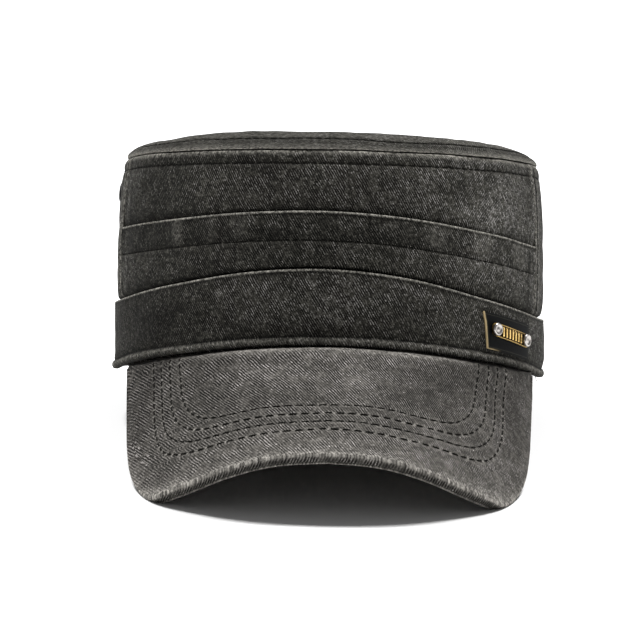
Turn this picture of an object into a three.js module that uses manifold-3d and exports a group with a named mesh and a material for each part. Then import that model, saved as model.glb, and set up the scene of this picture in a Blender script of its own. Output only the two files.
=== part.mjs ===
// A flat-topped denim cap: crown top, front panel with a sewn tuck, two side panels,
// a headband with a rolled hem, a curved brim, a badge on the band and two vent eyelets.
// Millimetres, +Z up. The front faces -Y, and +X is to the right of someone who faces the cap.
// The cap is shaped upright first, and then leans back until it rests on the two
// corners of its brim and on the rear of its hem, as such a cap does on a table.
import * as THREE from 'three';
import { mergeVertices } from 'three/addons/utils/BufferGeometryUtils.js';
import Module from 'manifold-3d';

// Head size and crown
const bandHalfWidth = 89.3;
const bandHalfLength = 97.5;
const crownHeight = 85.7;
const topRise = 8;
const topRollWidth = 15;
const topSag = 1.2;
const clothThickness = 1.6;
const seamGap = 0.3;

// Headband
const bandHeight = 29.5;
const bandThickness = 2.4;
const hemHeight = 3.2;
const hemBulge = 0.8;
const frontArch = 9.8;
const hemPress = 1.5;
const wallSwell = 0.15;

// Front panel, its tuck and the side panels
const leftSeamAngle = -74;
const rightSeamAngle = 70;
const tuckHeight = 22.4;
const tuckDepth = 1.2;
const tuckLip = 1.4;
const panelInsert = 6;

// Brim
const brimHalfAngle = 68;
const brimThickness = 3.8;
const brimReach = 61.5;
const brimDrop = 51;
const brimFlare = 4.7;
const brimArch = 1.5;
const brimInsert = 3;
const brimSink = 0.42;

// Badge: patch, plate and its two rivets
const badgeAngle = 52.8;
const patchLength = 31.8;
const patchHeight = 14.4;
const patchThickness = 1.1;
const plateLength = 26.4;
const plateHeight = 5.4;
const plateThickness = 0.9;
const plateEndShare = 0.45;
const rivetDiameter = 4.8;
const rivetHeight = 1.3;
const rivetInset = 2.6;

// Vent eyelets
const leftEyeletAngle = -92;
const rightEyeletAngle = 100;
const eyeletHeight = 72.6;
const eyeletDiameter = 8;
const eyeletHole = 3.6;
const eyeletBarrel = 5.2;
const eyeletFlange = 0.7;
const eyeletEase = 0.2;

// How finely the curved pieces are cut
const segmentDegrees = 5;
const brimStations = 34;
const brimRows = 8;
const badgeColumns = 10;
const roundSegments = 20;
const crownFlatShares = [0.3, 0.55, 0.78];
const crownRollAngles = [90, 66, 46, 28, 12, 0];
const slopeStep = 0.02;
const leanHalvings = 40;

// Heights round the cap. around is in degrees from the front, positive to the right.
// hem is a share of frontArch, band a share of bandHeight, tuck a share of tuckHeight.
const roundTable = [
  { around: -180, hem: 0, band: 0.915, tuck: 1.28 },
  { around: -110, hem: 0, band: 0.91, tuck: 1.3 },
  { around: -75, hem: 0.07, band: 0.9, tuck: 1.31 },
  { around: -45, hem: 0.5, band: 0.945, tuck: 1.16 },
  { around: -20, hem: 0.88, band: 0.993, tuck: 1.04 },
  { around: 0, hem: 1, band: 1, tuck: 1 },
  { around: 20, hem: 0.88, band: 0.94, tuck: 1.05 },
  { around: 45, hem: 0.5, band: 0.817, tuck: 1.18 },
  { around: 75, hem: 0.07, band: 0.752, tuck: 1.27 },
  { around: 110, hem: 0, band: 0.81, tuck: 1.29 },
  { around: 180, hem: 0, band: 0.915, tuck: 1.28 },
];

// The crown's outline from the front. height is a share of crownHeight, and width a
// share of bandHalfWidth and bandHalfLength.
const crownTable = [
  { height: 0.2, width: 0.985 },
  { height: 0.4, width: 0.993 },
  { height: 0.55, width: 0.995 },
  { height: 0.7, width: 0.991 },
  { height: 0.82, width: 0.984 },
  { height: 0.92, width: 0.973 },
  { height: 1, width: 0.955 },
];

// The brim's outer edge, from the middle to the root. station is a share of
// brimHalfAngle, flare of brimFlare, reach of brimReach and drop of brimDrop,
// each measured from the brim's inner edge at that station.
const brimTable = [
  { station: 0, flare: 0, reach: 0.943, drop: 0.769 },
  { station: 0.18, flare: 0.43, reach: 0.96, drop: 0.792 },
  { station: 0.36, flare: 0.47, reach: 0.992, drop: 0.863 },
  { station: 0.5, flare: 0.55, reach: 1, drop: 0.943 },
  { station: 0.6, flare: 0.94, reach: 0.954, drop: 1 },
  { station: 0.68, flare: 1, reach: 0.904, drop: 1 },
  { station: 0.75, flare: 0.96, reach: 0.834, drop: 0.947 },
  { station: 0.81, flare: 0.74, reach: 0.763, drop: 0.857 },
  { station: 0.87, flare: 0.49, reach: 0.644, drop: 0.708 },
  { station: 0.94, flare: 0.21, reach: 0.429, drop: 0.439 },
  { station: 1, flare: 0.21, reach: 0.042, drop: 0.037 },
];

// Dents pressed into the crown. around and wide are in degrees, height and tall are
// shares of crownHeight, and depth is a share of clothThickness.
const dentTable = [
  { around: 22, wide: 13, height: 1.04, tall: 0.09, depth: 0.8 },
  { around: -38, wide: 16, height: 0.86, tall: 0.12, depth: 0.45 },
  { around: 48, wide: 14, height: 0.8, tall: 0.14, depth: 0.4 },
  { around: 150, wide: 24, height: 0.78, tall: 0.2, depth: 0.6 },
  { around: -146, wide: 22, height: 0.62, tall: 0.18, depth: 0.5 },
];

// Rows of the band's outer face. hem counts hemHeight, wall the rest of the band,
// and out is a share of hemBulge.
const bandRows = [
  { hem: 0, wall: 0, out: 0.1 },
  { hem: 0.25, wall: 0, out: 0.85 },
  { hem: 0.6, wall: 0, out: 1 },
  { hem: 0.95, wall: 0, out: 0.45 },
  { hem: 1.1, wall: 0, out: -0.2 },
  { hem: 1, wall: 0.25, out: wallSwell },
  { hem: 1, wall: 0.6, out: wallSwell },
  { hem: 1, wall: 0.93, out: wallSwell },
  { hem: 1, wall: 1, out: -0.5 },
];

const radians = THREE.MathUtils.degToRad;

// Value of one column at x, by a cubic through the rows with slopes from their neighbours.
function readTable(rows, key, column, x) {
  const last = rows.length - 1;
  let i = 0;
  while (i < last - 1 && x > rows[i + 1][key]) i += 1;
  const slope = (a, b) => (rows[b][column] - rows[a][column]) / (rows[b][key] - rows[a][key]);
  const span = rows[i + 1][key] - rows[i][key];
  const s = THREE.MathUtils.clamp((x - rows[i][key]) / span, 0, 1);
  const start = slope(Math.max(i - 1, 0), i + 1) * span;
  const end = slope(i, Math.min(i + 2, last)) * span;
  const rise = rows[i + 1][column] - rows[i][column];
  return rows[i][column] + s * (start + s * (3 * rise - 2 * start - end + s * (start + end - 2 * rise)));
}

const hemLine = (around) => frontArch * readTable(roundTable, 'around', 'hem', around);
const bandTop = (around) => hemLine(around) + bandHeight * readTable(roundTable, 'around', 'band', around);
const tuckLine = (around) => bandTop(around) + tuckHeight * readTable(roundTable, 'around', 'tuck', around);

// A point of the cap's oval at a height, moved in towards the middle by inset.
function ovalPoint(around, height, width, inset) {
  const angle = radians(around);
  return new THREE.Vector3(
    (bandHalfWidth * width - inset) * Math.sin(angle),
    -(bandHalfLength * width - inset) * Math.cos(angle),
    height,
  );
}

// How far the dents push the crown in at a place.
function dentDepth(around, height) {
  return dentTable.reduce((sum, dent) => {
    const across = (around - dent.around) / dent.wide;
    const up = (height / crownHeight - dent.height) / dent.tall;
    return sum + dent.depth * clothThickness * Math.exp(-across * across - up * up);
  }, 0);
}

// A point of the crown's outer cloth, or of a layer that lies inset behind it.
function crownPoint(around, height, inset) {
  const width = readTable(crownTable, 'height', 'width', height / crownHeight);
  return ovalPoint(around, height, width, inset + dentDepth(around, height));
}

const anglesBetween = (from, to) => {
  const steps = Math.max(2, Math.round(Math.abs(to - from) / segmentDegrees));
  return Array.from({ length: steps + 1 }, (_, i) => from + ((to - from) * i) / steps);
};

// One closed body from vertices and triangles, turned so that its faces point out.
function solidFrom(points, triangles) {
  const edge = new THREE.Vector3();
  const volume = triangles.reduce((sum, [a, b, c]) => (
    sum + points[a].dot(edge.crossVectors(points[b], points[c]))), 0);
  const facing = volume > 0 ? triangles : triangles.map(([a, b, c]) => [a, c, b]);
  const geometry = new THREE.BufferGeometry();
  geometry.setAttribute('position', new THREE.Float32BufferAttribute(points.flatMap((p) => p.toArray()), 3));
  geometry.setIndex(facing.flat());
  geometry.computeVertexNormals();
  return geometry;
}

// A wall carried through loops of points. An open run gets a flat end at both sides.
function sweepLoops(loops, closed) {
  const size = loops[0].length;
  const triangles = [];
  const runs = closed ? loops.length : loops.length - 1;
  for (let j = 0; j < runs; j += 1) {
    const here = j * size;
    const next = ((j + 1) % loops.length) * size;
    for (let i = 0; i < size; i += 1) {
      const k = (i + 1) % size;
      triangles.push([here + i, next + i, next + k], [here + i, next + k, here + k]);
    }
  }
  if (!closed) {
    const final = (loops.length - 1) * size;
    for (let i = 0; i < size / 2 - 1; i += 1) {
      const far = size - 1 - i;
      triangles.push([i, i + 1, far], [final + i, final + far, final + i + 1]);
      if (i + 1 < far - 1) {
        triangles.push([i + 1, far - 1, far], [final + i + 1, final + far, final + far - 1]);
      }
    }
  }
  return solidFrom(loops.flat(), triangles);
}

// A domed shell from rings that run from the middle of its top, over the rim, to the
// middle of its underside.
function sweepRings(rings) {
  const size = rings[0].length;
  const middle = (ring) => ring.reduce((sum, p) => sum.add(p), new THREE.Vector3()).divideScalar(size);
  const points = [...rings.flat(), middle(rings[0]), middle(rings[rings.length - 1])];
  const topPole = points.length - 2;
  const underPole = points.length - 1;
  const triangles = [];
  for (let i = 0; i < size; i += 1) {
    const k = (i + 1) % size;
    triangles.push([topPole, i, k]);
    for (let j = 0; j < rings.length - 1; j += 1) {
      const here = j * size;
      const next = here + size;
      triangles.push([here + i, next + i, next + k], [here + i, next + k, here + k]);
    }
    const final = (rings.length - 1) * size;
    triangles.push([underPole, final + k, final + i]);
  }
  return solidFrom(points, triangles);
}

// The headband: a closed ring with a rolled hem, each loop up the outside and down the inside.
function bandLoops() {
  return anglesBetween(-180, 180).slice(0, -1).map((around) => {
    const bottom = hemLine(around);
    const wall = bandTop(around) - bottom - hemHeight;
    const outer = bandRows.map((row) => (
      ovalPoint(around, bottom + row.hem * hemHeight + row.wall * wall, 1, -row.out * hemBulge)));
    const inner = [1, 0.5, 0].map((share) => (
      ovalPoint(around, bottom + share * (hemHeight + wall), 1, bandThickness)));
    return [...outer, ...inner];
  });
}

// Height rows of a crown panel, from behind the band up to the seam under the crown top.
// The panel's foot lies behind the band, and above the tuck line the cloth is set back.
function panelLoop(around, tucked) {
  const edge = bandTop(around);
  const tuck = tuckLine(around);
  const behindBand = bandThickness + seamGap;
  const setBack = tucked ? tuckDepth : 0;
  const rows = [
    { height: edge - panelInsert, inset: behindBand },
    { height: edge + seamGap, inset: behindBand },
    { height: edge + tuckLip + tuckDepth, inset: 0 },
    { height: (edge + tuck) / 2, inset: 0 },
    { height: tuck - tuckLip, inset: 0 },
    { height: tuck, inset: -setBack / 3 },
    { height: tuck + seamGap, inset: setBack },
    { height: tuck + tuckLip * 2, inset: setBack / 2 },
    { height: tuck + (crownHeight - tuck) * 0.4, inset: 0 },
    { height: tuck + (crownHeight - tuck) * 0.7, inset: 0 },
    { height: crownHeight, inset: 0 },
  ];
  const outer = rows.map((row) => crownPoint(around, row.height, row.inset));
  const inner = rows.map((row) => (
    crownPoint(around, row.height, Math.max(row.inset, setBack / 2) + clothThickness)));
  return [...outer, ...inner.reverse()];
}

const panelSolid = (from, to, tucked) => (
  sweepLoops(anglesBetween(from, to).map((around) => panelLoop(around, tucked)), false));

// The crown top: it rises from the seam in a quarter roll and sags a little in the middle.
function crownTopSolid() {
  const around = anglesBetween(-180, 180).slice(0, -1);
  const layer = (depth) => {
    const ring = (inset, rise, share) => around.map((angle) => {
      const point = crownPoint(angle, crownHeight, inset);
      const dent = dentDepth(angle, crownHeight) * (rise / topRise) * share;
      const height = point.z + seamGap + rise - dent - topSag * (1 - share * share);
      return new THREE.Vector3(point.x * share, point.y * share, height);
    });
    const flat = crownFlatShares.map((share) => ring(topRollWidth, topRise - depth, share));
    const roll = crownRollAngles.map((angle) => ring(
      depth + (topRollWidth - depth) * (1 - Math.cos(radians(angle))),
      (topRise - depth) * Math.sin(radians(angle)),
      1,
    ));
    return [...flat, ...roll];
  };
  return sweepRings([...layer(0), ...layer(clothThickness).reverse()]);
}

// The middle surface of the brim. station runs from -1 at the left root to 1 at the
// right one, and along from 0 under the band to 1 at the outer edge.
function brimMiddle(station, along) {
  const around = station * brimHalfAngle;
  const side = Math.sign(station);
  const inner = ovalPoint(around, hemLine(around) - seamGap - brimThickness * brimSink, 1, brimInsert);
  const column = (name) => readTable(brimTable, 'station', name, Math.abs(station));
  const offset = new THREE.Vector3(
    side * column('flare') * brimFlare,
    -column('reach') * brimReach,
    -column('drop') * brimDrop,
  );
  const arch = brimArch * column('reach') * Math.sin(Math.PI * along);
  return inner.addScaledVector(offset, along).add(new THREE.Vector3(0, 0, arch));
}

// The same surface moved along its own normal by a distance, up when positive.
function brimPoint(station, along, distance) {
  const s = THREE.MathUtils.clamp(station, slopeStep - 1, 1 - slopeStep);
  const a = THREE.MathUtils.clamp(along, slopeStep, 1 - slopeStep);
  const across = brimMiddle(s + slopeStep, a).sub(brimMiddle(s - slopeStep, a));
  const outward = brimMiddle(s, a + slopeStep).sub(brimMiddle(s, a - slopeStep));
  const normal = outward.cross(across).normalize();
  if (normal.z < 0) normal.negate();
  return brimMiddle(station, along).addScaledVector(normal, distance);
}

function brimLoops() {
  const half = brimThickness / 2;
  const rows = Array.from({ length: brimRows }, (_, i) => i / (brimRows - 1));
  return Array.from({ length: brimStations + 1 }, (_, i) => {
    const station = (2 * i) / brimStations - 1;
    const over = rows.map((along) => brimPoint(station, along, half));
    const under = rows.map((along) => brimPoint(station, along, -half));
    return [...over, ...under.reverse()];
  });
}

// The lean that brings the brim's corners down to the level of the rear hem, less the
// little that the cloth of the hem gives under the cap's weight.
function restingPose(bandPoints, brimPoints) {
  const rear = bandPoints.filter((p) => p.y > 0);
  const lowest = (points, lean) => (
    Math.min(...points.map((p) => p.z * Math.cos(lean) - p.y * Math.sin(lean))));
  let low = 0;
  let high = radians(45);
  for (let i = 0; i < leanHalvings; i += 1) {
    const lean = (low + high) / 2;
    if (lowest(brimPoints, lean) < lowest(rear, lean) + hemPress) low = lean;
    else high = lean;
  }
  return { lean: low, lift: -lowest(brimPoints, low) };
}

// Cloth that would reach below the table is flattened on it.
function flattenOnTable(points, pose) {
  points.forEach((p) => {
    const level = p.z * Math.cos(pose.lean) - p.y * Math.sin(pose.lean) + pose.lift;
    if (level < 0) p.z -= level / Math.cos(pose.lean);
  });
}

// A thin pad that follows the band's outer face. across and up are millimetres from the
// badge's middle, and stand the height above the band of the pad's two faces.
const millimetresPerDegree = (radians(1) * (bandHalfWidth + bandHalfLength)) / 2;
function badgePoint(across, up, stand) {
  const around = badgeAngle + across / millimetresPerDegree;
  const middle = (hemLine(around) + bandTop(around)) / 2;
  return ovalPoint(around, middle + up, 1, -stand);
}

function padSolid(length, halfHeightAt, foot, thickness) {
  const loops = Array.from({ length: badgeColumns + 1 }, (_, i) => {
    const across = length * (i / badgeColumns - 0.5);
    const half = halfHeightAt(across);
    return [
      badgePoint(across, half, foot + thickness),
      badgePoint(across, 0, foot + thickness),
      badgePoint(across, -half, foot + thickness),
      badgePoint(across, -half, foot),
      badgePoint(across, 0, foot),
      badgePoint(across, half, foot),
    ];
  });
  return sweepLoops(loops, false);
}

const patchFoot = hemBulge * wallSwell + seamGap;
const plateFoot = patchFoot + patchThickness + seamGap;
const rivetFoot = plateFoot + plateThickness + seamGap;

// Half the height of a plate with round ends, at a distance from its middle.
function pillHalfHeight(across) {
  const radius = plateHeight / 2;
  const past = Math.max(0, Math.abs(across) - (plateLength / 2 - radius));
  return Math.max(radius * plateEndShare, Math.sqrt(Math.max(0, radius * radius - past * past)));
}

// Turned round its axis from a profile of radius and height.
function turned(profile) {
  const points = profile.map(([radius, height]) => new THREE.Vector2(radius, height));
  const geometry = new THREE.LatheGeometry(points, roundSegments);
  geometry.deleteAttribute('normal');
  geometry.deleteAttribute('uv');
  const merged = mergeVertices(geometry, 1e-4);
  merged.rotateX(Math.PI / 2);
  return merged;
}

const rivetProfile = [
  [0, 0],
  [rivetDiameter / 2, 0],
  [rivetDiameter / 2, rivetHeight * 0.35],
  [rivetDiameter * 0.38, rivetHeight * 0.8],
  [rivetDiameter * 0.2, rivetHeight],
  [0, rivetHeight],
];

// Half the depth of an eyelet between its two flanges, which clear the bend of the cloth.
const eyeletGrip = clothThickness / 2 + seamGap + eyeletEase;
const eyeletProfile = [
  [eyeletHole / 2, -eyeletGrip - eyeletFlange],
  [eyeletDiameter / 2, -eyeletGrip - eyeletFlange],
  [eyeletDiameter / 2, -eyeletGrip],
  [eyeletBarrel / 2, -eyeletGrip],
  [eyeletBarrel / 2, eyeletGrip],
  [eyeletDiameter / 2, eyeletGrip],
  [eyeletDiameter / 2 - eyeletFlange / 2, eyeletGrip + eyeletFlange],
  [eyeletHole / 2, eyeletGrip + eyeletFlange],
  [eyeletHole / 2, -eyeletGrip - eyeletFlange],
];

// Where an eyelet sits: the middle of the cloth and the way straight out of it.
function eyeletSeat(around) {
  const reach = eyeletDiameter / 2;
  const turn = reach / millimetresPerDegree;
  const middle = (angle, height) => crownPoint(angle, height, clothThickness / 2);
  const upward = middle(around, eyeletHeight + reach).sub(middle(around, eyeletHeight - reach));
  const sideways = middle(around + turn, eyeletHeight).sub(middle(around - turn, eyeletHeight));
  return { centre: middle(around, eyeletHeight), out: sideways.cross(upward).normalize() };
}

// The placement that carries the Z axis of a turned piece to a direction.
const facing = (out) => new THREE.Quaternion().setFromUnitVectors(new THREE.Vector3(0, 0, 1), out);

const wasm = await Module();
wasm.setup();

function toManifold(geometry) {
  const bare = new THREE.BufferGeometry();
  bare.setAttribute('position', geometry.getAttribute('position').clone());
  bare.setIndex(geometry.getIndex().clone());
  const merged = mergeVertices(bare, 1e-4);
  return new wasm.Manifold(new wasm.Mesh({
    numProp: 3,
    vertProperties: new Float32Array(merged.getAttribute('position').array),
    triVerts: new Uint32Array(merged.getIndex().array),
  }));
}

// The panel with a round hole through it where the eyelet's barrel passes.
function withEyeletHole(panel, around) {
  const seat = eyeletSeat(around);
  const drill = turned([
    [0, -clothThickness * 2],
    [eyeletBarrel / 2 + seamGap, -clothThickness * 2],
    [eyeletBarrel / 2 + seamGap, clothThickness * 2],
    [0, clothThickness * 2],
  ]);
  drill.applyQuaternion(facing(seat.out));
  drill.translate(seat.centre.x, seat.centre.y, seat.centre.z);
  const cut = toManifold(panel).subtract(toManifold(drill)).getMesh();
  const geometry = new THREE.BufferGeometry();
  geometry.setAttribute('position', new THREE.BufferAttribute(cut.vertProperties, 3));
  geometry.setIndex(new THREE.BufferAttribute(cut.triVerts, 1));
  geometry.computeVertexNormals();
  return geometry;
}

const finishes = {
  crownDenim: { color: 0x3b3a37, roughness: 0.95, metalness: 0 },
  brimDenim: { color: 0x676461, roughness: 0.95, metalness: 0 },
  blackLeather: { color: 0x161718, roughness: 0.55, metalness: 0 },
  giltPlate: { color: 0x8f6a34, roughness: 0.35, metalness: 1 },
  nickel: { color: 0xc9c6c4, roughness: 0.25, metalness: 1 },
  blackenedMetal: { color: 0x1c1c1c, roughness: 0.45, metalness: 1 },
};

const cap = new THREE.Group();

function addPiece(name, geometry, finish) {
  const mesh = new THREE.Mesh(geometry, new THREE.MeshStandardMaterial(finish));
  mesh.name = name;
  cap.add(mesh);
  return mesh;
}

const band = bandLoops();
const brim = brimLoops();
const pose = restingPose(band.flat(), brim.flat());
flattenOnTable(band.flat(), pose);

// The panels' edges stop half a seam gap short of the seam lines.
const halfSeam = seamGap / 2 / millimetresPerDegree;
const frontPanel = panelSolid(leftSeamAngle + halfSeam, rightSeamAngle - halfSeam, true);
const rightPanel = panelSolid(rightSeamAngle + halfSeam, 180 - halfSeam, false);
const leftPanel = panelSolid(halfSeam - 180, leftSeamAngle - halfSeam, false);

addPiece('crown_top', crownTopSolid(), finishes.crownDenim);
addPiece('front_panel', frontPanel, finishes.crownDenim);
addPiece('side_panel_right', withEyeletHole(rightPanel, rightEyeletAngle), finishes.crownDenim);
addPiece('side_panel_left', withEyeletHole(leftPanel, leftEyeletAngle), finishes.crownDenim);
addPiece('headband', sweepLoops(band, true), finishes.crownDenim);
addPiece('brim', sweepLoops(brim, false), finishes.brimDenim);
addPiece('badge_patch', padSolid(patchLength, () => patchHeight / 2, patchFoot, patchThickness),
  finishes.blackLeather);
addPiece('badge_plate', padSolid(plateLength, pillHalfHeight, plateFoot, plateThickness), finishes.giltPlate);

[['rivet_left', -1], ['rivet_right', 1]].forEach(([name, side]) => {
  const across = side * (plateLength / 2 - rivetInset);
  const seat = badgePoint(across, 0, rivetFoot);
  const out = badgePoint(across, 0, rivetFoot + 1).sub(seat).normalize();
  const rivet = addPiece(name, turned(rivetProfile), finishes.nickel);
  rivet.position.copy(seat);
  rivet.quaternion.copy(facing(out));
});

[['eyelet_left', leftEyeletAngle], ['eyelet_right', rightEyeletAngle]].forEach(([name, around]) => {
  const seat = eyeletSeat(around);
  const eyelet = addPiece(name, turned(eyeletProfile), finishes.blackenedMetal);
  eyelet.position.copy(seat.centre);
  eyelet.quaternion.copy(facing(seat.out));
});

// The cap leans back on the table, and its box is centred over the origin.
cap.rotation.x = -pose.lean;
cap.position.z = pose.lift;
const group = new THREE.Group();
group.add(cap);
group.updateMatrixWorld(true);
const centre = new THREE.Box3().setFromObject(group, true).getCenter(new THREE.Vector3());
cap.position.x = -centre.x;
cap.position.y = -centre.y;

export default group;
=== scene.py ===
import math

import bpy
import numpy as np
from mathutils import Matrix


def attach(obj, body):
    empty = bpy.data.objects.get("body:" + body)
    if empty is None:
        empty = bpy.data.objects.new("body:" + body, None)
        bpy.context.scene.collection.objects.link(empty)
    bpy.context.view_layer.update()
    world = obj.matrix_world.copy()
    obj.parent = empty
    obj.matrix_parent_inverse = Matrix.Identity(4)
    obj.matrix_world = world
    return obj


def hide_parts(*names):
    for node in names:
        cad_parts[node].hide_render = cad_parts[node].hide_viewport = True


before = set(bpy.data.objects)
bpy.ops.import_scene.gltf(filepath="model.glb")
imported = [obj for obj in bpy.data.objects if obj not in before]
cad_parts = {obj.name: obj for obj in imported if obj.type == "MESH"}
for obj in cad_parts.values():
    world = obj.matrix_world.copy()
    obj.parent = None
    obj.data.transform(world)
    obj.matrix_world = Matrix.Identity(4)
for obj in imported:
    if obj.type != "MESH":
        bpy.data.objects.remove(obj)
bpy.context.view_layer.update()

# The cap is shaped upright in millimetres, with its front towards -Y, as in the part's own
# source. It then leans back on the table, and becomes metres.
MM = 0.001
LEAN = math.radians(13.205601)
SEAT = np.array([0, 23.08996, 20.791765])

# Head size and crown
BAND_HALF_WIDTH = 89.3
BAND_HALF_LENGTH = 97.5
CROWN_HEIGHT = 85.7
TOP_RISE = 8
TOP_ROLL_WIDTH = 15
TOP_SAG = 1.2
CLOTH = 1.6
SEAM_GAP = 0.3
SEAM_TOUCH = 0.04
LEFT_SEAM = -74
RIGHT_SEAM = 70
ARC_PER_DEGREE = math.radians(1) * (BAND_HALF_WIDTH + BAND_HALF_LENGTH) / 2

# Headband and tuck
BAND_HEIGHT = 29.5
HEM_HEIGHT = 3.2
FRONT_ARCH = 9.8
TUCK_HEIGHT = 22.4

# Brim
BRIM_HALF_ANGLE = 68
BRIM_THICKNESS = 3.8
BRIM_REACH = 61.5
BRIM_DROP = 51.8
BRIM_FLARE = 4.7
BRIM_ASIDE = 0.6
BRIM_ARCH = 1.5
BRIM_INSERT = 3
BRIM_SINK = 0.42

# Badge: patch, plate and rivets
BADGE_ANGLE = 52.8
PATCH_LENGTH = 31.8
PATCH_HEIGHT = 14.4
PATCH_THICKNESS = 1.1
PATCH_STAND = 0.42
PLATE_LENGTH = 26.4
PLATE_HEIGHT = 5.4
PLATE_THICKNESS = 0.9
PATCH_CORNER = 0.5
RIVET_INSET = 2.6
RIVET_ASIDE = 0.7

# Vent eyelets
LEFT_EYELET = -92
RIGHT_EYELET = 100
EYELET_HEIGHT = 72.6

# Sewing thread, from one stitch to the next, and the share of that which a stitch fills
THREAD = 0.36
BRIM_THREAD = THREAD * 1.3
CROWN_PITCH = 3.6
CROWN_FILL = 0.78
BRIM_PITCH = 4.4
BRIM_FILL = 0.84

# Rows of stitches: how far each lies from its own seam or fold
TOP_ROW = 5.4
SEAM_ROW = 5.2
TUCK_ROW = 11.3
SIDE_ROW = 3.4
RIGHT_SIDE_ROW = 5.8

# The loose end of thread under the hem at the right: where it starts and how it hangs
TAIL_START = (83.8, -35, -0.4)
TAIL_RUN = (1.2, -0.3, -2.9)
TAIL_PITCH = 10
TAIL_THREAD = THREAD * 0.8

# Twill: the spacing of its ridges, how steep they run and the length of a yarn's dash, drawn
# a little coarser than the real 0.7 mm so that a picture of this size can show them
CROWN_TWILL_PITCH = 0.9
BRIM_TWILL_PITCH = 1.0
CROWN_TWILL_STEEP = 57
BRIM_TWILL_STEEP = 58
YARN_DASH = 1.15

# Camera
CAMERA_DISTANCE = 1.3
CAMERA_ELEVATION = 12.56
CAMERA_ASIDE = -3.8
CAMERA_AIM_HEIGHT = 41.95
CAMERA_ROLL = 1.1
CAMERA_LENS = 175.5

# Light: two broad lamps overhead, a little behind and to either side, and an even room
LIGHT_ASIDE = 20
LIGHT_BEHIND = 16
LIGHT_SPREAD = 16
LIGHT_STRENGTH = 3.5
ROOM_LIGHT = 0.19


def table(names, *rows):
    """Rows of numbers as named columns."""
    return dict(zip(names.split(), np.array(rows, float).T))


# Heights round the cap: shares of FRONT_ARCH, BAND_HEIGHT and TUCK_HEIGHT
ROUND = table(
    "around hem band tuck",
    (-180, 0, 0.915, 1.28),
    (-110, 0, 0.91, 1.3),
    (-75, 0.07, 0.9, 1.31),
    (-45, 0.5, 0.945, 1.16),
    (-20, 0.88, 0.993, 1.04),
    (0, 1, 1, 1),
    (20, 0.88, 0.94, 1.05),
    (45, 0.5, 0.817, 1.18),
    (75, 0.07, 0.752, 1.27),
    (110, 0, 0.81, 1.29),
    (180, 0, 0.915, 1.28),
)

# The crown's outline from the front
OUTLINE = table(
    "height width",
    (0.2, 0.985),
    (0.4, 0.993),
    (0.55, 0.995),
    (0.7, 0.991),
    (0.82, 0.984),
    (0.92, 0.973),
    (1, 0.955),
)

# The brim's outer edge from the middle to the root
BRIM_EDGE = table(
    "station flare reach drop",
    (0, 0, 0.943, 0.769),
    (0.18, 0.43, 0.96, 0.792),
    (0.36, 0.47, 0.992, 0.863),
    (0.5, 0.55, 1, 0.943),
    (0.6, 0.96, 0.985, 1.005),
    (0.68, 0.88, 0.96, 1.03),
    (0.75, 0.85, 0.89, 0.97),
    (0.81, 0.76, 0.81, 0.87),
    (0.87, 0.54, 0.67, 0.71),
    (0.94, 0.24, 0.429, 0.439),
    (1, 0.25, 0.042, 0.037),
)

# Dents pressed into the crown
DENTS = table(
    "around wide height tall depth",
    (22, 13, 1.04, 0.09, 0.8),
    (-38, 16, 0.86, 0.12, 0.45),
    (48, 14, 0.8, 0.14, 0.4),
    (150, 24, 0.78, 0.2, 0.6),
    (-146, 22, 0.62, 0.18, 0.5),
)

# A crown panel's outer face from its foot behind the band to the seam under the top.
# edge, tuck and top weigh the heights that a knot follows, rise is in millimetres, inset
# is how far the cloth lies in, wear is its rubbing, shade is how much darker it is drawn,
# mostly painted shade in its folds, grooves and seam, behind the band and inside, and rows
# is how many rows of the grid run to the next knot. All panels share their foot and head.
PANEL_COLUMNS = "edge tuck top rise inset wear shade rows"
PANEL_FOOT = (
    (1, 0, 0, -6, 2.7, 0, -0.6, 4),
    (1, 0, 0, 0, 2.5, 0, -0.9, 4),
    (1, 0, 0, 0.8, 1.5, 0, -0.8, 3),
)
PANEL_HEAD = (
    (0, 0, 1, -7.4, 0, 0, 0, 4),
    (0, 0, 1, -6, -0.02, 0.05, -0.1, 3),
    (0, 0, 1, -5.2, 0.38, 0, -0.65, 3),
    (0, 0, 1, -4.4, -0.02, 0, -0.2, 3),
    (0, 0, 1, -2.4, -0.35, 0, -0.1, 4),
    (0, 0, 1, -0.9, -0.28, 0.45, 0, 3),
    (0, 0, 1, -0.3, 0.05, 0.8, 0, 2),
    (0, 0, 1, 0, 0.75, 0.2, -0.8, 1),
)
FRONT_ROWS = table(
    PANEL_COLUMNS,
    *PANEL_FOOT,
    (1, 0, 0, 2.2, 0.25, 0, -0.35, 5),
    (0.75, 0.25, 0, 0, -0.05, 0, 0, 6),
    (0, 1, 0, -13.6, 0, 0, 0, 4),
    (0, 1, 0, -12, -0.05, 0.06, 0, 3),
    (0, 1, 0, -11.3, 0.4, 0, -0.6, 3),
    (0, 1, 0, -10.6, -0.05, 0, -0.45, 5),
    (0, 1, 0, -6, -0.4, 0, -0.3, 7),
    (0, 1, 0, -2.1, -0.4, 0, -0.3, 3),
    (0, 1, 0, -1.35, -0.34, 0, -0.9, 2),
    (0, 1, 0, -0.85, -0.4, 0.05, -1, 2),
    (0, 1, 0, -0.45, -0.5, 0.75, -0.2, 2),
    (0, 1, 0, -0.1, -0.42, 1, 0, 2),
    (0, 1, 0, 0.03, -0.05, 0.9, 0, 2),
    (0, 1, 0, 0.02, 0.35, 0.2, -0.5, 2),
    (0, 1, 0, -0.5, 0.95, 0, -1, 2),
    (0, 1, 0, -0.2, 1.3, 0, -1, 2),
    (0, 1, 0, 0.8, 1.15, 0, -0.6, 3),
    (0, 1, 0, 2.4, 0.75, 0, -0.25, 4),
    (0, 1, 0, 6, 0.35, 0, 0, 8),
    (0, 0.5, 0.5, 0, 0.05, 0, 0, 10),
    *PANEL_HEAD,
)

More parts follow.
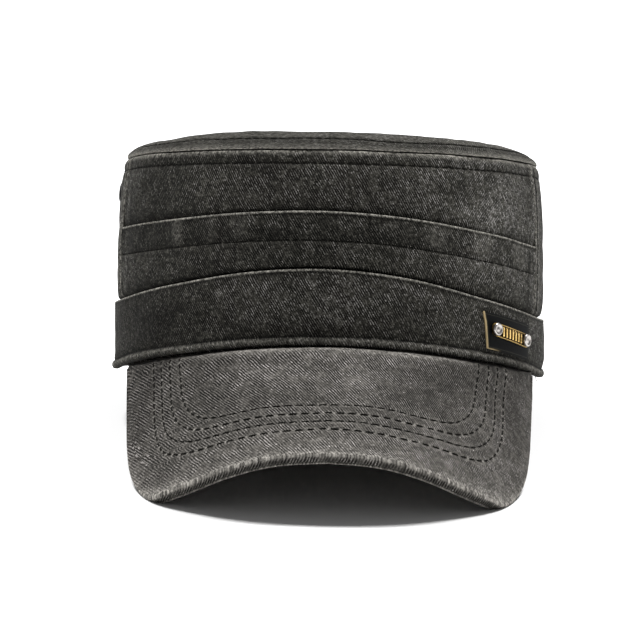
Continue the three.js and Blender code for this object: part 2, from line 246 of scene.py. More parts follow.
# The same for a side panel, which has no tuck
SIDE_ROWS = table(
    PANEL_COLUMNS,
    *PANEL_FOOT,
    (1, 0, 0, 2.2, 0.25, 0, -0.35, 6),
    (0.6, 0.4, 0, 0, 0, 0, 0, 14),
    (0, 1, 0, 0, 0, 0, 0, 14),
    (0, 0.4, 0.6, 0, 0, 0, 0, 8),
    *PANEL_HEAD,
)

# A panel's inner face, from the seam down to its foot
INNER_ROWS = table(
    PANEL_COLUMNS,
    (0, 0, 1, 0, 1.7, 0, -0.5, 2),
    (0, 0, 1, -3, 1.7, 0, -0.2, 3),
    (0, 0.5, 0.5, 0, 1.75, 0, 0, 3),
    (0, 1, 0, 1, 2.5, 0, 0, 2),
    (0, 1, 0, -3, 2.1, 0, 0, 3),
    (0.7, 0.3, 0, 0, 1.65, 0, 0, 3),
    (1, 0, 0, 2.8, 1.8, 0, 0, 2),
    (1, 0, 0, 0, 4.2, 0, 0, 2),
    (1, 0, 0, -6, 4.3, 0, -0.5, 1),
)

# The headband, from under its hem up the outside, over its folded edge and down the
# inside. hem and wall weigh HEM_HEIGHT and the height of the rest, and out stands proud.
# wear is its rubbing, and shade is painted shade: in the gap under the hem, below its
# folded edges and on the inside.
BAND_ROWS = table(
    "hem wall rise out wear shade rows",
    (0, 0, 0, -1.5, 0, -0.8, 2),
    (0, 0, 0.02, -0.4, 0, -0.7, 2),
    (0.1, 0, 0, 0.3, 0, -0.4, 3),
    (0.36, 0, 0, 0.74, 0.12, -0.1, 3),
    (0.62, 0, 0, 0.8, 0.3, 0, 3),
    (0.84, 0, 0, 0.52, 0.16, 0, 3),
    (1, 0, 0, 0, 0, -0.6, 2),
    (1.1, 0, 0, -0.3, 0, -1, 2),
    (1.22, 0, 0, -0.16, 0, -0.7, 3),
    (1.6, 0, 0, 0.02, 0, -0.35, 4),
    (1, 0.25, 0, 0.1, 0, -0.05, 9),
    (1, 0.55, 0, 0.12, 0, 0, 9),
    (1, 0.8, 0, 0.12, 0, 0.05, 5),
    (1, 1, -2.3, 0.12, 0, -0.1, 3),
    (1, 1, -1.5, 0.08, 0, -0.7, 2),
    (1, 1, -1, 0.12, 0.05, -0.9, 2),
    (1, 1, -0.55, 0.18, 0.7, -0.2, 2),
    (1, 1, -0.15, -0.05, 1, 0, 2),
    (1, 1, 0, -0.55, 0.85, 0, 2),
    (1, 1, -0.2, -1.6, 0, -0.9, 2),
    (1, 1, -1, -2.3, 0, -0.6, 3),
    (1, 0.5, 0, -2.4, 0, 0, 4),
    (1, 0, 0, -2.4, 0, 0, 2),
    (0, 0, 0.6, -2.3, 0, -0.3, 1),
)

# The brim's loop: over the top, round the edge and back underneath. along runs from the
# band to the edge, beyond is in millimetres past it, and lift is a share of half the
# thickness. wear is its rubbing, and shade is painted shade at its root under the band and
# below the roll of its edge, and painted light that lifts its shaded underside.
BRIM_ROWS = table(
    "along beyond lift wear shade rows",
    (0, 0, 1, 0, -0.8, 3),
    (0.03, 0, 1.35, 0, -0.7, 3),
    (0.05, 0, 1.65, 0.6, 0, 2),
    (0.066, 0, 1.75, 0.55, 0, 3),
    (0.095, 0, 1.68, 0.12, 0, 5),
    (0.16, 0, 1.4, 0, 0, 9),
    (0.27, 0, 1.12, 0, 0, 20),
    (0.5, 0, 1, 0, 0, 46),
    (0.93, 0, 1, 0.1, 0, 6),
    (1, -1.9, 1, 0.25, 0, 3),
    (1, -0.8, 0.96, 0.6, 0, 2),
    (1, -0.2, 0.76, 0.85, 0, 2),
    (1, 0.02, 0.4, 0.25, -0.2, 3),
    (1, 0.02, -0.2, 0.02, -0.45, 3),
    (1, -0.02, -0.85, 0.02, -0.5, 2),
    (1, -0.4, -1.05, 0, -1, 2),
    (1, -0.1, -1.2, 0.25, -0.3, 2),
    (1, -0.05, -1.45, 0.4, -0.1, 2),
    (1, -0.6, -1.7, 0.1, 0, 4),
    (0.93, 0, -1.5, 0, 0.4, 4),
    (0.8, 0, -1, 0, 0.5, 14),
    (0.4, 0, -1, 0, 0.4, 12),
    (0, 0, -1, 0, -0.6, 1),
)

# How a row of stitches turns on the brim, as shares of its own root station and height
STITCH_TURN = table(
    "station along",
    (0, 1),
    (0.3, 1.005),
    (0.6, 1),
    (0.74, 0.965),
    (0.82, 0.895),
    (0.88, 0.79),
    (0.92, 0.66),
    (0.95, 0.47),
    (0.98, 0.21),
    (1, 0),
)
STITCH_ROWS = table(
    "station along",
    (0.61, 0.585),
    (0.662, 0.655),
    (0.714, 0.722),
    (0.765, 0.79),
)

# Where the crown and the band are drawn lighter or darker: partly the wash's own uneven
# tone and its pale streaks, partly painted light and shade. around and wide are in
# degrees, height and tall in millimetres above the hem's lowest line.
WASH_AND_PAINTED_LIGHT = table(
    "around wide height tall shade",
    (-60, 22, 20, 16, -0.75),
    (-58, 24, 62, 26, -0.5),
    (-30, 14, 40, 7, -0.3),
    (-6, 30, 48, 6, -0.35),
    (-5, 16, 27, 8, 0.35),
    (20, 9, 22, 6, -0.3),
    (34, 12, 24, 7, -0.1),
    (-38, 16, 18, 8, -0.25),
    (30, 12, 78, 5, 0.3),
    (24, 10, 66, 8, 0.25),
    (36, 6, 73, 5, -0.4),
    (44, 9, 62, 8, 0.25),
    (10, 9, 70, 8, -0.15),
    (-20, 10, 72, 6, -0.1),
    (50, 14, 42, 7, 0.2),
    (66, 8, 55, 20, 0.1),
    (48, 20, 62, 24, 0.46),
    (-45, 25, 43, 5, 0.25),
    (4, 20, 45, 5, 0.15),
    (-40, 25, 84, 4, -0.25),
    (0, 22, 26, 9, 0.2),
    (2, 24, 66, 10, 0.15),
    (-48, 22, 45, 6, -0.12),
    (-48, 22, 12, 14, -0.1),
    (52, 16, 35, 10, 0.12),
    (-48, 24, 54, 7, -0.14),
    (-62, 1, 52, 3.5, 0.4),
    (-55, 1.2, 53, 3.5, 0.4),
    (-47, 1.3, 54, 3.5, 0.35),
    (-39.5, 1.2, 54.5, 3.5, 0.4),
    (-33, 1.2, 55.5, 3.5, 0.3),
    (-21.5, 1.5, 56.5, 3.5, 0.5),
    (-15, 1.5, 57, 3.5, 0.35),
    (-6.5, 1.5, 57.5, 3.5, 0.5),
    (3, 1.3, 57.5, 3.5, 0.3),
    (7.5, 1.3, 57.5, 3.5, 0.45),
    (15, 1.5, 56.5, 3.5, 0.45),
)

# The same for the brim's upper face, wash and painted light and shade alike, over its station and its
# share from the band to the edge
BRIM_WASH_AND_PAINTED_LIGHT = table(
    "station wide along tall shade",
    (-0.25, 0.2, 0.28, 0.14, 0.3),
    (0, 0.5, 0.08, 0.09, 0.35),
    (0, 0.35, 0.68, 0.12, -0.1),
    (-0.8, 0.15, 0.5, 0.4, 0.12),
    (0.1, 0.12, 0.35, 0.14, 0.25),
    (0.25, 0.1, 0.5, 0.1, -0.3),
    (-0.45, 0.1, 0.4, 0.14, -0.25),
    (0.45, 0.14, 0.3, 0.16, -0.1),
    (-0.62, 0.09, 0.7, 0.2, -0.2),
    (0.66, 0.1, 0.8, 0.16, 0.15),
    (0.3, 0.14, 0.9, 0.07, 0.3),
    (-0.1, 0.3, 0.9, 0.07, 0.2),
    (0.8, 0.07, 0.4, 0.3, -0.2),
    (-0.8, 0.07, 0.35, 0.3, -0.15),
)


def cubic(keys, values, x):
    """A cubic through the values whose slope at each key is that of its two neighbours."""
    x = np.clip(x, keys[0], keys[-1])
    low = np.maximum(np.arange(len(keys)) - 1, 0)
    high = np.minimum(np.arange(len(keys)) + 1, len(keys) - 1)
    slopes = (values[high] - values[low]) / (keys[high] - keys[low])
    i = np.clip(np.searchsorted(keys, x) - 1, 0, len(keys) - 2)
    span = keys[i + 1] - keys[i]
    s = (x - keys[i]) / span
    start, end, rise = slopes[i] * span, slopes[i + 1] * span, values[i + 1] - values[i]
    return values[i] + s * (start + s * (3 * rise - 2 * start - end + s * (start + end - 2 * rise)))


def hem_line(around):
    """The height of the band's lower edge at an angle: its share of the arch over the brim."""
    return FRONT_ARCH * cubic(ROUND["around"], ROUND["hem"], around)


def band_top(around):
    """The height of the band's upper edge: the hem plus its share of the band's height."""
    return hem_line(around) + BAND_HEIGHT * cubic(ROUND["around"], ROUND["band"], around)


def tuck_line(around):
    """The height of the tuck's fold: the band's top plus its share of the tuck's height."""
    return band_top(around) + TUCK_HEIGHT * cubic(ROUND["around"], ROUND["tuck"], around)


def oval(around, height, width, inset):
    """The cap's oval at a height: half sizes times width, less inset, at an angle from the front."""
    angle = np.radians(around)
    return np.stack(np.broadcast_arrays(
        (BAND_HALF_WIDTH * width - inset) * np.sin(angle),
        -(BAND_HALF_LENGTH * width - inset) * np.cos(angle),
        height,
    ), -1).astype(float)


def bumps(rows, x, y):
    """The sum of the rows' values, each times a power of e that falls with the square of the
    distance from its place. A row holds its place and width across, its place and height up,
    and its value."""
    across, wide, up, tall, value = rows.values()
    dx = (np.asarray(x)[..., None] - across) / wide
    dy = (np.asarray(y)[..., None] - up) / tall
    return (value * np.exp(-dx ** 2 - dy ** 2)).sum(-1)


def unit(vectors):
    """The vectors, each over its own length."""
    return vectors / np.linalg.norm(vectors, axis=-1, keepdims=True)


def dent_depth(around, height):
    """How deep the crown is dented at a place: its dents' shares of a cloth's thickness."""
    return CLOTH * bumps(DENTS, around, np.asarray(height) / CROWN_HEIGHT)


def crown(around, height, inset):
    """The crown's outer cloth, or a layer that lies inset behind it."""
    width = cubic(OUTLINE["height"], OUTLINE["width"], height / CROWN_HEIGHT)
    return oval(around, height, width, inset + dent_depth(around, height))


def waves(points, shortest, longest, count, seed):
    """A sum of sine waves over space, with lengths between two values in millimetres and
    directions and phases drawn from a seeded generator, scaled to a deviation of about one."""
    draw = np.random.default_rng(seed)
    ways = unit(draw.normal(size=(count, 3)))
    ways *= (2 * np.pi / draw.uniform(shortest, longest, count))[:, None]
    phases = draw.uniform(0, 2 * np.pi, count)
    return sum(np.sin(points @ way + phase) for way, phase in zip(ways, phases)) * math.sqrt(2 / count)


def knots_to_rows(rows, closed=False):
    """Weights that carry a column of knots to the rows of a grid: a cubic from knot to knot,
    cut into each knot's own number of rows. A closed column runs on to its first knot."""
    count = len(rows["rows"])
    places = np.concatenate(([0], np.cumsum(rows["rows"])))
    if not closed:
        places = places[:-1]
    steps = np.arange(places[-1] + (0 if closed else 1))
    weights = np.zeros((len(steps), count))
    for i, only in enumerate(np.eye(count)):
        values = np.append(only, only[0]) if closed else only
        weights[:, i] = cubic(places, values, steps)
    return weights


def stops(places, counts):
    """Values from place to place, with a number of even steps between each two."""
    parts = [np.linspace(a, b, n, endpoint=False) for a, b, n in zip(places, places[1:], counts)]
    return np.concatenate([*parts, [places[-1]]])


def seated(points):
    """Leans the upright shape back on the table and turns millimetres to metres."""
    x, y, z = np.moveaxis(points, -1, 0)
    cos, sin = math.cos(LEAN), math.sin(LEAN)
    return (np.stack((x, y * cos + z * sin, z * cos - y * sin), -1) + SEAT) * MM


def enclosed(points, faces):
    """Six times the volume inside a mesh, from the corners of its faces' triangles."""
    first = points[faces[:, 0]]
    total = 0.0
    for i in range(1, faces.shape[1] - 1):
        total += (first * np.cross(points[faces[:, i]], points[faces[:, i + 1]])).sum()
    return total


def make_piece(name, points, faces, material, cloth=None, marks=None, extra=()):
    """A mesh object from seated points and four-sided faces, with the extra many-sided ones.
    cloth gives each face corner its place on the flat cloth in millimetres, and marks are
    values at the points."""
    if enclosed(points, faces) < 0:
        faces = faces[:, ::-1]
        cloth = None if cloth is None else cloth[:, ::-1]
        extra = [side[::-1] for side in extra]
    mesh = bpy.data.meshes.new(name)
    mesh.from_pydata(points.tolist(), [], faces.tolist() + [list(side) for side in extra])
    if cloth is not None:
        layer = mesh.uv_layers.new(name="cloth")
        corners = np.zeros((len(mesh.loops), 2), np.float32)
        corners[:faces.size] = cloth.reshape(-1, 2)
        layer.data.foreach_set("uv", corners.ravel())
    for key, values in (marks or {}).items():
        layer = mesh.attributes.new(key, "FLOAT", "POINT")
        layer.data.foreach_set("value", values.astype(np.float32).ravel())
    mesh.materials.append(material)
    mesh.update()
    mesh.polygons.foreach_set("use_smooth", np.ones(len(mesh.polygons), bool))
    piece = bpy.data.objects.new(name, mesh)
    bpy.context.collection.objects.link(piece)
    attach(piece, "root")
    return piece


def grid_faces(columns, rows, ring, loop):
    """The columns and the rows of the four corners of each of a grid's faces. On a ring or a
    loop they run one past the last, which the caller turns back to the first."""
    c, r = np.meshgrid(
        np.arange(columns if ring else columns - 1),
        np.arange(rows if loop else rows - 1),
        indexing="ij",
    )
    c, r = c.ravel()[:, None], r.ravel()[:, None]
    across = c + np.array([0, 1, 1, 0])
    up = r + np.array([0, 0, 1, 1])
    return across, up


def sew_piece(name, points, flat, material, wear, shade, ring=False):
    """A wall of cloth from a grid of columns by rows, each column a closed loop. A ring of
    columns joins up, and an open run gets a flat end at each side. flat holds the places on
    the cloth, with one column more on a ring."""
    columns, rows = points.shape[:2]
    across, up = grid_faces(columns, rows, ring, True)
    faces = (across % columns) * rows + up % rows
    ends = [] if ring else [np.arange(rows), (columns - 1) * rows + np.arange(rows)[::-1]]
    return make_piece(
        name, seated(points.reshape(-1, 3)), faces, material,
        flat[across, up % rows], {"wear": wear, "shade": shade}, ends,
    )


# Materials

def linear(colour):
    """Turns an sRGB hex value to the linear red, green and blue that shaders take."""
    parts = [int(colour[i:i + 2], 16) / 255 for i in (1, 3, 5)]
    return [c / 12.92 if c <= 0.04045 else ((c + 0.055) / 1.055) ** 2.4 for c in parts] + [1]


def node(tree, kind, links=None, **settings):
    """Adds a node with its settings. links gives an input a value, or the socket that feeds it."""
    made = tree.nodes.new("ShaderNode" + kind)
    for name, value in settings.items():
        setattr(made, name, value)
    for key, value in (links or {}).items():
        if isinstance(value, bpy.types.NodeSocket):
            tree.links.new(value, made.inputs[key])
        else:
            made.inputs[key].default_value = value
    return made


def start_material(name, **values):
    """A material with its principled shader, whose uniform values sit on its own sockets."""
    material = bpy.data.materials.new(name)
    material.use_nodes = True
    tree = material.node_tree
    shader = tree.nodes["Principled BSDF"]
    for key, value in values.items():
        shader.inputs[key.replace("_", " ").title().replace("Ior", "IOR")].default_value = value
    return material, tree, shader


def blend(tree, share, first, second):
    """The first colour, turning to the second as the share goes from nothing to one."""
    return node(tree, "Mix", {0: share, 6: first, 7: second}, data_type="RGBA").outputs[2]


def noise(tree, vector, length, detail=2.0, rough=0.5):
    """Cloudy noise from nothing to one, with clouds of a length in the vector's own unit."""
    return node(tree, "TexNoise", {
        "Vector": vector, "Scale": 1 / length, "Detail": detail, "Roughness": rough,
    }).outputs["Fac"]


def mark(tree, name):
    """A value that the mesh carries at its points."""
    return node(tree, "Attribute", attribute_name=name).outputs["Fac"]


def denim(name, dye, core, worn, twill, steep, pitch, speckle, clouds):
    """Washed cotton twill, dyed black and rubbed pale where it stands proud. The eye sees
    slanted ridges that come and go, cut into the dashes of single yarns, loose fibres, soft
    clouds left by the wash, and pale broken lines on every fold. Its cut yarns scatter light,
    so it has no shine. The dye's colour is multiplied by a power of e, to which each pattern
    adds its part, and turns to the yarn's greyer core as it pales. The mesh's shade mark adds
    painted shade in creases, grooves and folds, painted light under the brim, and the wash's
    lighter and darker places."""
    material, tree, shader = start_material(name, roughness=0.95, specular_ior_level=0.12)
    cloth = node(tree, "UVMap", uv_map="cloth").outputs["UV"]
    place = node(tree, "TexCoord").outputs["Object"]
    wear = mark(tree, "wear")
    shade = mark(tree, "shade")

    def maths(operation, *values):
        """One arithmetic step of the values."""
        return node(tree, "Math", dict(enumerate(values)), operation=operation).outputs["Value"]

    def eased(value, low, high, to_low, to_high):
        """A value carried from one range to another, slowly at both ends."""
        return node(tree, "MapRange", {
            "Value": value, "From Min": low, "From Max": high, "To Min": to_low, "To Max": to_high,
        }, interpolation_type="SMOOTHSTEP").outputs["Result"]

    def scaled(vector, factor):
        """A colour or a place times a factor."""
        inputs = {0: vector, "Scale": factor}
        return node(tree, "VectorMath", inputs, operation="SCALE").outputs["Vector"]

    # Ridges across the slant, a little uneven as woven yarns are, clear only in patches
    slanted = node(tree, "VectorRotate", {
        "Vector": cloth, "Angle": math.radians(steep - 90),
    }, rotation_type="Z_AXIS").outputs["Vector"]
    parts = node(tree, "SeparateXYZ", {"Vector": slanted}).outputs
    lane = maths("MULTIPLY_ADD", parts["X"], 1 / pitch, maths("MULTIPLY", noise(tree, cloth, 3.0), 0.8))
    shows = eased(noise(tree, cloth, 5.0, 2.0), 0.4, 0.58, 0.25, 1.0)
    ridge = maths("MULTIPLY", maths("SINE", maths("MULTIPLY", lane, 2 * math.pi)), shows)
    # Every ridge is cut into dashes, each with a yarn's own depth of dye
    ridge_number = maths("FLOOR", maths("ADD", lane, 0.25))
    dash_number = maths("FLOOR", maths(
        "MULTIPLY_ADD", parts["Y"], 1 / YARN_DASH, maths("MULTIPLY", ridge_number, 0.37)))
    cell = node(tree, "CombineXYZ", {"X": ridge_number, "Y": dash_number}).outputs["Vector"]
    yarn = node(tree, "TexWhiteNoise", {"Vector": cell}, noise_dimensions="2D").outputs["Value"]
    fibre = noise(tree, cloth, 0.65, 1.0)
    patterns = (
        (yarn, 0.42 * speckle),
        (fibre, speckle),
        (noise(tree, place, 0.0014, 2.0, 0.6), 0.3 * speckle),
        (noise(tree, place, 0.006, 3.0, 0.6), clouds),
        (noise(tree, place, 0.028, 2.0), 1.2),
        (shows, -0.45 * twill),
    )
    # The shade mark's part: painted shade and light, with the wash's tone
    power = maths("MULTIPLY_ADD", ridge, twill, maths("MULTIPLY", shade, 1.2))
    for pattern, gain in patterns:
        power = maths("MULTIPLY_ADD", maths("SUBTRACT", pattern, 0.5), gain, power)
    # Rare pale specks of lint
    power = maths("ADD", power, eased(noise(tree, cloth, 0.9, 0.0), 0.76, 0.82, 0.0, 1.3))
    depth = maths("MINIMUM", maths("EXPONENT", power), 14.0)
    tint = blend(tree, eased(depth, 1.0, 6.0, 0.0, 1.0), linear(dye), linear(core))
    # Rubbed folds: pale where the fold stands proud, broken along its length
    rubbed = maths("MULTIPLY", wear, eased(noise(tree, cloth, 1.1, 3.0, 0.7), 0.4, 0.62, 0.2, 1.3))
    pale = scaled(linear(worn)[:3], maths("MULTIPLY_ADD", yarn, 0.7, 0.6))
    colour = blend(tree, maths("MINIMUM", rubbed, 1.0), scaled(tint, depth), pale)
    tree.links.new(colour, shader.inputs["Base Color"])

    height = maths("ADD", maths("MULTIPLY", ridge, 0.6), maths("MULTIPLY", fibre, 1.6))
    bump = node(tree, "Bump", {"Height": height, "Strength": 0.7, "Distance": 0.2 * MM})
    tree.links.new(bump.outputs["Normal"], shader.inputs["Normal"])
    return material


def thread_material():
    """Black core-spun sewing thread: a matt twisted yarn whose ply shows as fine bands, darker
    than any of the washed cloth round it."""
    material, tree, shader = start_material(
        "thread_black_corespun", roughness=0.9, specular_ior_level=0.1)
    place = node(tree, "TexCoord").outputs["Object"]
    ply = noise(tree, place, 0.0006)
    colour = blend(tree, ply, linear("#050504"), linear("#151410"))
    tree.links.new(colour, shader.inputs["Base Color"])
    return material


crown_denim = denim(
    "crown_denim_washed_black", "#2e2d29", "#2e2d2c", "#9a978f",
    twill=1.7, steep=CROWN_TWILL_STEEP, pitch=CROWN_TWILL_PITCH, speckle=3.7, clouds=1.4)
brim_denim = denim(
    "brim_denim_washed_grey", "#393734", "#393736", "#a8a49d",
    twill=1.9, steep=BRIM_TWILL_STEEP, pitch=BRIM_TWILL_PITCH, speckle=2.0, clouds=1.5)
thread = thread_material()


# Crown panels

def crown_swell(points):
    """The soft unevenness of worn cloth, in millimetres, at places on the crown."""
    return 0.28 * waves(points, 24, 60, 16, 11) + 0.07 * waves(points, 6, 13, 24, 12)


def panel(name, around, knots, seams, tucked):
    """A crown panel: rows of its table from its foot to the seam, pushed in by dents and
    grooves and out by puckers, and the plain inner face a cloth's thickness behind. seams
    holds each upright seam's angle and how far from it the cloth is stitched, or zero."""
    edge, tuck = band_top(around), tuck_line(around)
    levels = np.stack((edge, tuck, np.full_like(edge, CROWN_HEIGHT), np.ones_like(edge)))
    sides = []
    for rows in (knots, INNER_ROWS):
        weights = knots_to_rows(rows)
        anchors = np.stack([rows[key] for key in ("edge", "tuck", "top", "rise")], 1)
        height = (weights @ (anchors @ levels)).T
        columns = [
            np.broadcast_to(weights @ rows[key], height.shape) for key in ("inset", "wear", "shade")]
        sides.append([height, *columns])
    outer = sides[0][0].shape[1]
    height, inset, wear, shade = (np.concatenate(pair, 1) for pair in zip(*sides))
    angle = np.broadcast_to(around[:, None], height.shape)
    inset, wear, shade = inset.copy(), wear.copy(), shade.copy()
    # One on the outer face, nothing on the plain inner one
    face = np.zeros_like(height)
    face[:, :outer] = 1

    bare = crown(angle, height, 0)
    along = bare * np.array([1, 1, 0])
    streaks = waves(along, 2.4, 6, 24, 15)
    for seam, row in seams:
        # Rolled and rubbed cloth beside the seam, with painted shade in the seam itself, the wash's pale
        # streaks near it, and a groove where it is stitched, painted darker as shade
        away = np.abs(angle - seam) * ARC_PER_DEGREE
        roll = 0.75 * np.clip(1 - away / 0.9, 0, 1) ** 2 - 0.3 * np.exp(-((away - 1.9) / 1.1) ** 2)
        inset += face * roll
        wear += face * 0.5 * np.exp(-((away - 1) / 0.6) ** 2)
        shade -= face * 0.9 * np.exp(-(away / 0.7) ** 2)
        shade += face * 0.3 * streaks * np.exp(-(away / 13) ** 2)
        if row:
            groove = np.exp(-((away - row) / 0.5) ** 2)
            beyond = np.exp(-((away - row - 2.2) / 1.2) ** 2)
            inset += face * (0.35 * groove - 0.2 * beyond)
            wear += face * 0.25 * beyond
            shade -= face * 0.8 * groove
    # Soft unevenness of worn cloth, and puckers drawn up by the sewing
    above_edge = np.clip((height - edge[:, None]) / 4, 0, 1)
    inset -= face * above_edge * crown_swell(bare)
    pull = waves(along, 7, 16, 16, 13)
    below_top = CROWN_HEIGHT - height
    inset -= face * 0.12 * pull * np.exp(-((below_top - 2.6) / 1.8) ** 2)
    if tucked:
        below = tuck[:, None] - height
        between = np.clip(below / 2, 0, 1) * np.clip((TUCK_ROW - below) / 3, 0, 1)
        inset -= face * 0.22 * waves(along, 9, 18, 14, 14) * between
        wear += face * 0.16 * between * np.clip(waves(along, 9, 18, 14, 14) - 0.5, 0, 1)
    # The wash's tone, with painted light and shade
    shade += face * bumps(WASH_AND_PAINTED_LIGHT, angle, height)
    points = crown(angle, height, inset)
    flat = np.stack((angle * ARC_PER_DEGREE, height), -1)
    return sew_piece(
        name, points, flat, crown_denim, np.clip(wear, 0, 1), np.clip(shade, -1, 1))


# Sewn panels all but touch, so that no light shows through a seam
half_gap = SEAM_TOUCH / 2 / ARC_PER_DEGREE
front_around = stops(
    (LEFT_SEAM + half_gap, LEFT_SEAM + 5, RIGHT_SEAM - 5, RIGHT_SEAM - half_gap), (24, 300, 24))
right_around = stops((RIGHT_SEAM + half_gap, RIGHT_SEAM + 7, 175, 180 - half_gap), (32, 134, 22))
left_around = stops((LEFT_SEAM - half_gap, LEFT_SEAM - 6, -175, half_gap - 180), (28, 130, 22))
front_panel = panel(
    "front_panel_cloth", front_around, FRONT_ROWS, ((LEFT_SEAM, 0), (RIGHT_SEAM, 0)),
    tucked=True)
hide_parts("front_panel")
side_panel_right = panel(
    "side_panel_right_cloth", right_around, SIDE_ROWS,
    ((RIGHT_SEAM, RIGHT_SIDE_ROW), (180, SIDE_ROW)), tucked=False)
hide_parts("side_panel_right")
side_panel_left = panel(
    "side_panel_left_cloth", left_around, SIDE_ROWS,
    ((LEFT_SEAM, SIDE_ROW), (-180, SIDE_ROW)), tucked=False)
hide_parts("side_panel_left")


# Crown top

# Its rolled rim, from the seam inwards: arc is the length along the cloth, and out how far
# it stands proud, both in millimetres. wear is its rubbing, and shade is painted shade at
# its seam and in the groove of its stitches.
TOP_ROWS = table(
    "arc out wear shade rows",
    (0, -0.75, 0.2, -0.8, 2),
    (0.3, 0, 0.9, 0, 2),
    (0.9, 0.25, 0.5, 0, 3),
    (2.6, 0.35, 0, -0.1, 4),
    (4.6, 0.02, 0, -0.2, 3),
    (5.4, -0.38, 0, -1, 3),
    (6.2, 0.02, 0.04, 0, 3),
    (8, 0, 0.07, 0, 5),
    (11, 0, 0.04, 0, 6),
    (15, 0, 0, 0.05, 4),
    (18.5, 0, 0, 0, 1),
)

# Its rings inside the rim, as shares of the rim's distance from the middle
TOP_RINGS = np.array((
    0.97, 0.92, 0.86, 0.8, 0.74, 0.67, 0.6, 0.52, 0.44, 0.36, 0.28, 0.2, 0.12, 0.04, 0.015, 0.005,
))

# Where the rim of the top droops, in millimetres. Its height and tall columns count for
# nothing, because the droop depends only on the angle.
TOP_DIPS = table(
    "around wide height tall depth",
    (-68, 22, 0, 1, 1.7),
    (52, 16, 0, 1, 0.7),
    (88, 18, 0, 1, 2.6),
)


def top_roll(arc, out, depth):
    """The rolled rim of the crown top: a quarter ellipse from the seam, reached by its length
    along the cloth, moved out along its own normal. Gives its insets and its heights."""
    width, rise = TOP_ROLL_WIDTH - depth, TOP_RISE - depth
    turn = np.linspace(0, np.pi / 2, 200)
    path = np.stack((width * np.cos(turn), rise * np.sin(turn)), -1)
    length = np.concatenate(([0], np.cumsum(np.linalg.norm(np.diff(path, axis=0), axis=1))))
    angle = np.interp(arc / arc.max() * length[-1], length, turn)
    normal = unit(np.stack((rise * np.cos(angle), width * np.sin(angle)), -1))
    inset = TOP_ROLL_WIDTH - width * np.cos(angle) - out * normal[:, 0]
    height = rise * np.sin(angle) + out * normal[:, 1]
    return inset[None, :], height[None, :]


def top_dent(around, raised):
    """How far the top is lowered: its drooping rim, and the crown's dents across its roll."""
    dip = bumps(TOP_DIPS, around, 0)
    return dip * raised + 3 * dent_depth(around, CROWN_HEIGHT) * raised * (1 - raised)


def crown_top():
    """The flat oval top: a rolled rim, then rings that shrink to the middle, and the same
    below by a cloth's thickness. It sags a little, and dents lower its rim."""
    around = np.linspace(-180, 180, 460, endpoint=False)[:, None]
    weights = knots_to_rows(TOP_ROWS)
    arc, out, wear, shade = (weights @ TOP_ROWS[key] for key in ("arc", "out", "wear", "shade"))

    def layer(arc, out, depth, shares):
        """The rolled rim and then the rings, drawn in by their shares and lowered by the dents
        and by a sag that is full in the middle and falls with the square of the share."""
        inset, rise = top_roll(arc, out, depth)
        inset = np.concatenate((inset, np.full((1, len(shares)), TOP_ROLL_WIDTH)), 1)
        rise = np.concatenate((rise, np.full((1, len(shares)), TOP_RISE - depth)), 1)
        share = np.concatenate((np.ones(len(arc)), shares))
        base = crown(around, np.full_like(around, CROWN_HEIGHT), inset)
        dent = top_dent(around, rise / TOP_RISE) * share
        height = CROWN_HEIGHT + SEAM_GAP + rise - dent - TOP_SAG * (1 - share ** 2)
        return np.stack((base[..., 0] * share, base[..., 1] * share, height), -1)

    over = layer(arc, out, 0, TOP_RINGS)
    under_arc = np.linspace(0, 1, 6) * arc.max()
    under = layer(under_arc, np.zeros(6), CLOTH, TOP_RINGS[::3])
    points = np.concatenate((over[:, ::-1], under), 1)
    # The upper layer is uneven on the flat and puckered beside its seam
    face = np.zeros(points.shape[:2])
    face[:, :over.shape[1]] = 1
    lift = 0.16 * waves(points, 30, 80, 16, 21) + 0.06 * waves(points, 6, 14, 24, 22)
    pull = waves(points * np.array([1, 1, 0]), 7, 16, 16, 13)
    height_over = points[..., 2] - CROWN_HEIGHT
    near = np.exp(-((height_over - 2.6) / 2) ** 2)
    firm = np.clip(height_over / 4, 0, 1)
    points[..., 2] += face * (lift * firm + 0.12 * pull * near)
    # The middle is plain, and the inside of the cap is painted a little darker, as shade
    middle = np.zeros(len(TOP_RINGS))
    below = np.zeros(under.shape[1])
    wear = np.concatenate((np.concatenate((wear, middle))[::-1], below))
    shade = np.concatenate((np.concatenate((shade, middle))[::-1], below - 0.3))
    wear = np.broadcast_to(wear, points.shape[:2])
    shade = np.broadcast_to(shade, points.shape[:2])

    columns, rows = points.shape[:2]
    across, up = grid_faces(columns, rows, True, False)
    faces = (across % columns) * rows + up
    flat = points[..., :2] * (1 + np.clip(height_over, -2, 8)[..., None] * -0.06)
    ends = [np.arange(columns) * rows, (np.arange(columns) * rows + rows - 1)[::-1]]
    piece = make_piece(
        "crown_top_cloth", seated(points.reshape(-1, 3)), faces, crown_denim,
        flat[across % columns, up], {"wear": wear, "shade": shade}, ends)
    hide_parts("crown_top")
    return piece


top = crown_top()


# Headband

# Where the hem hangs lower at the cap's sides, in millimetres, by the angle alone too
HEM_SAGS = table(
    "around wide height tall depth",
    (-82, 14, 0, 1, 1.5),
    (78, 16, 0, 1, 1.9),
)


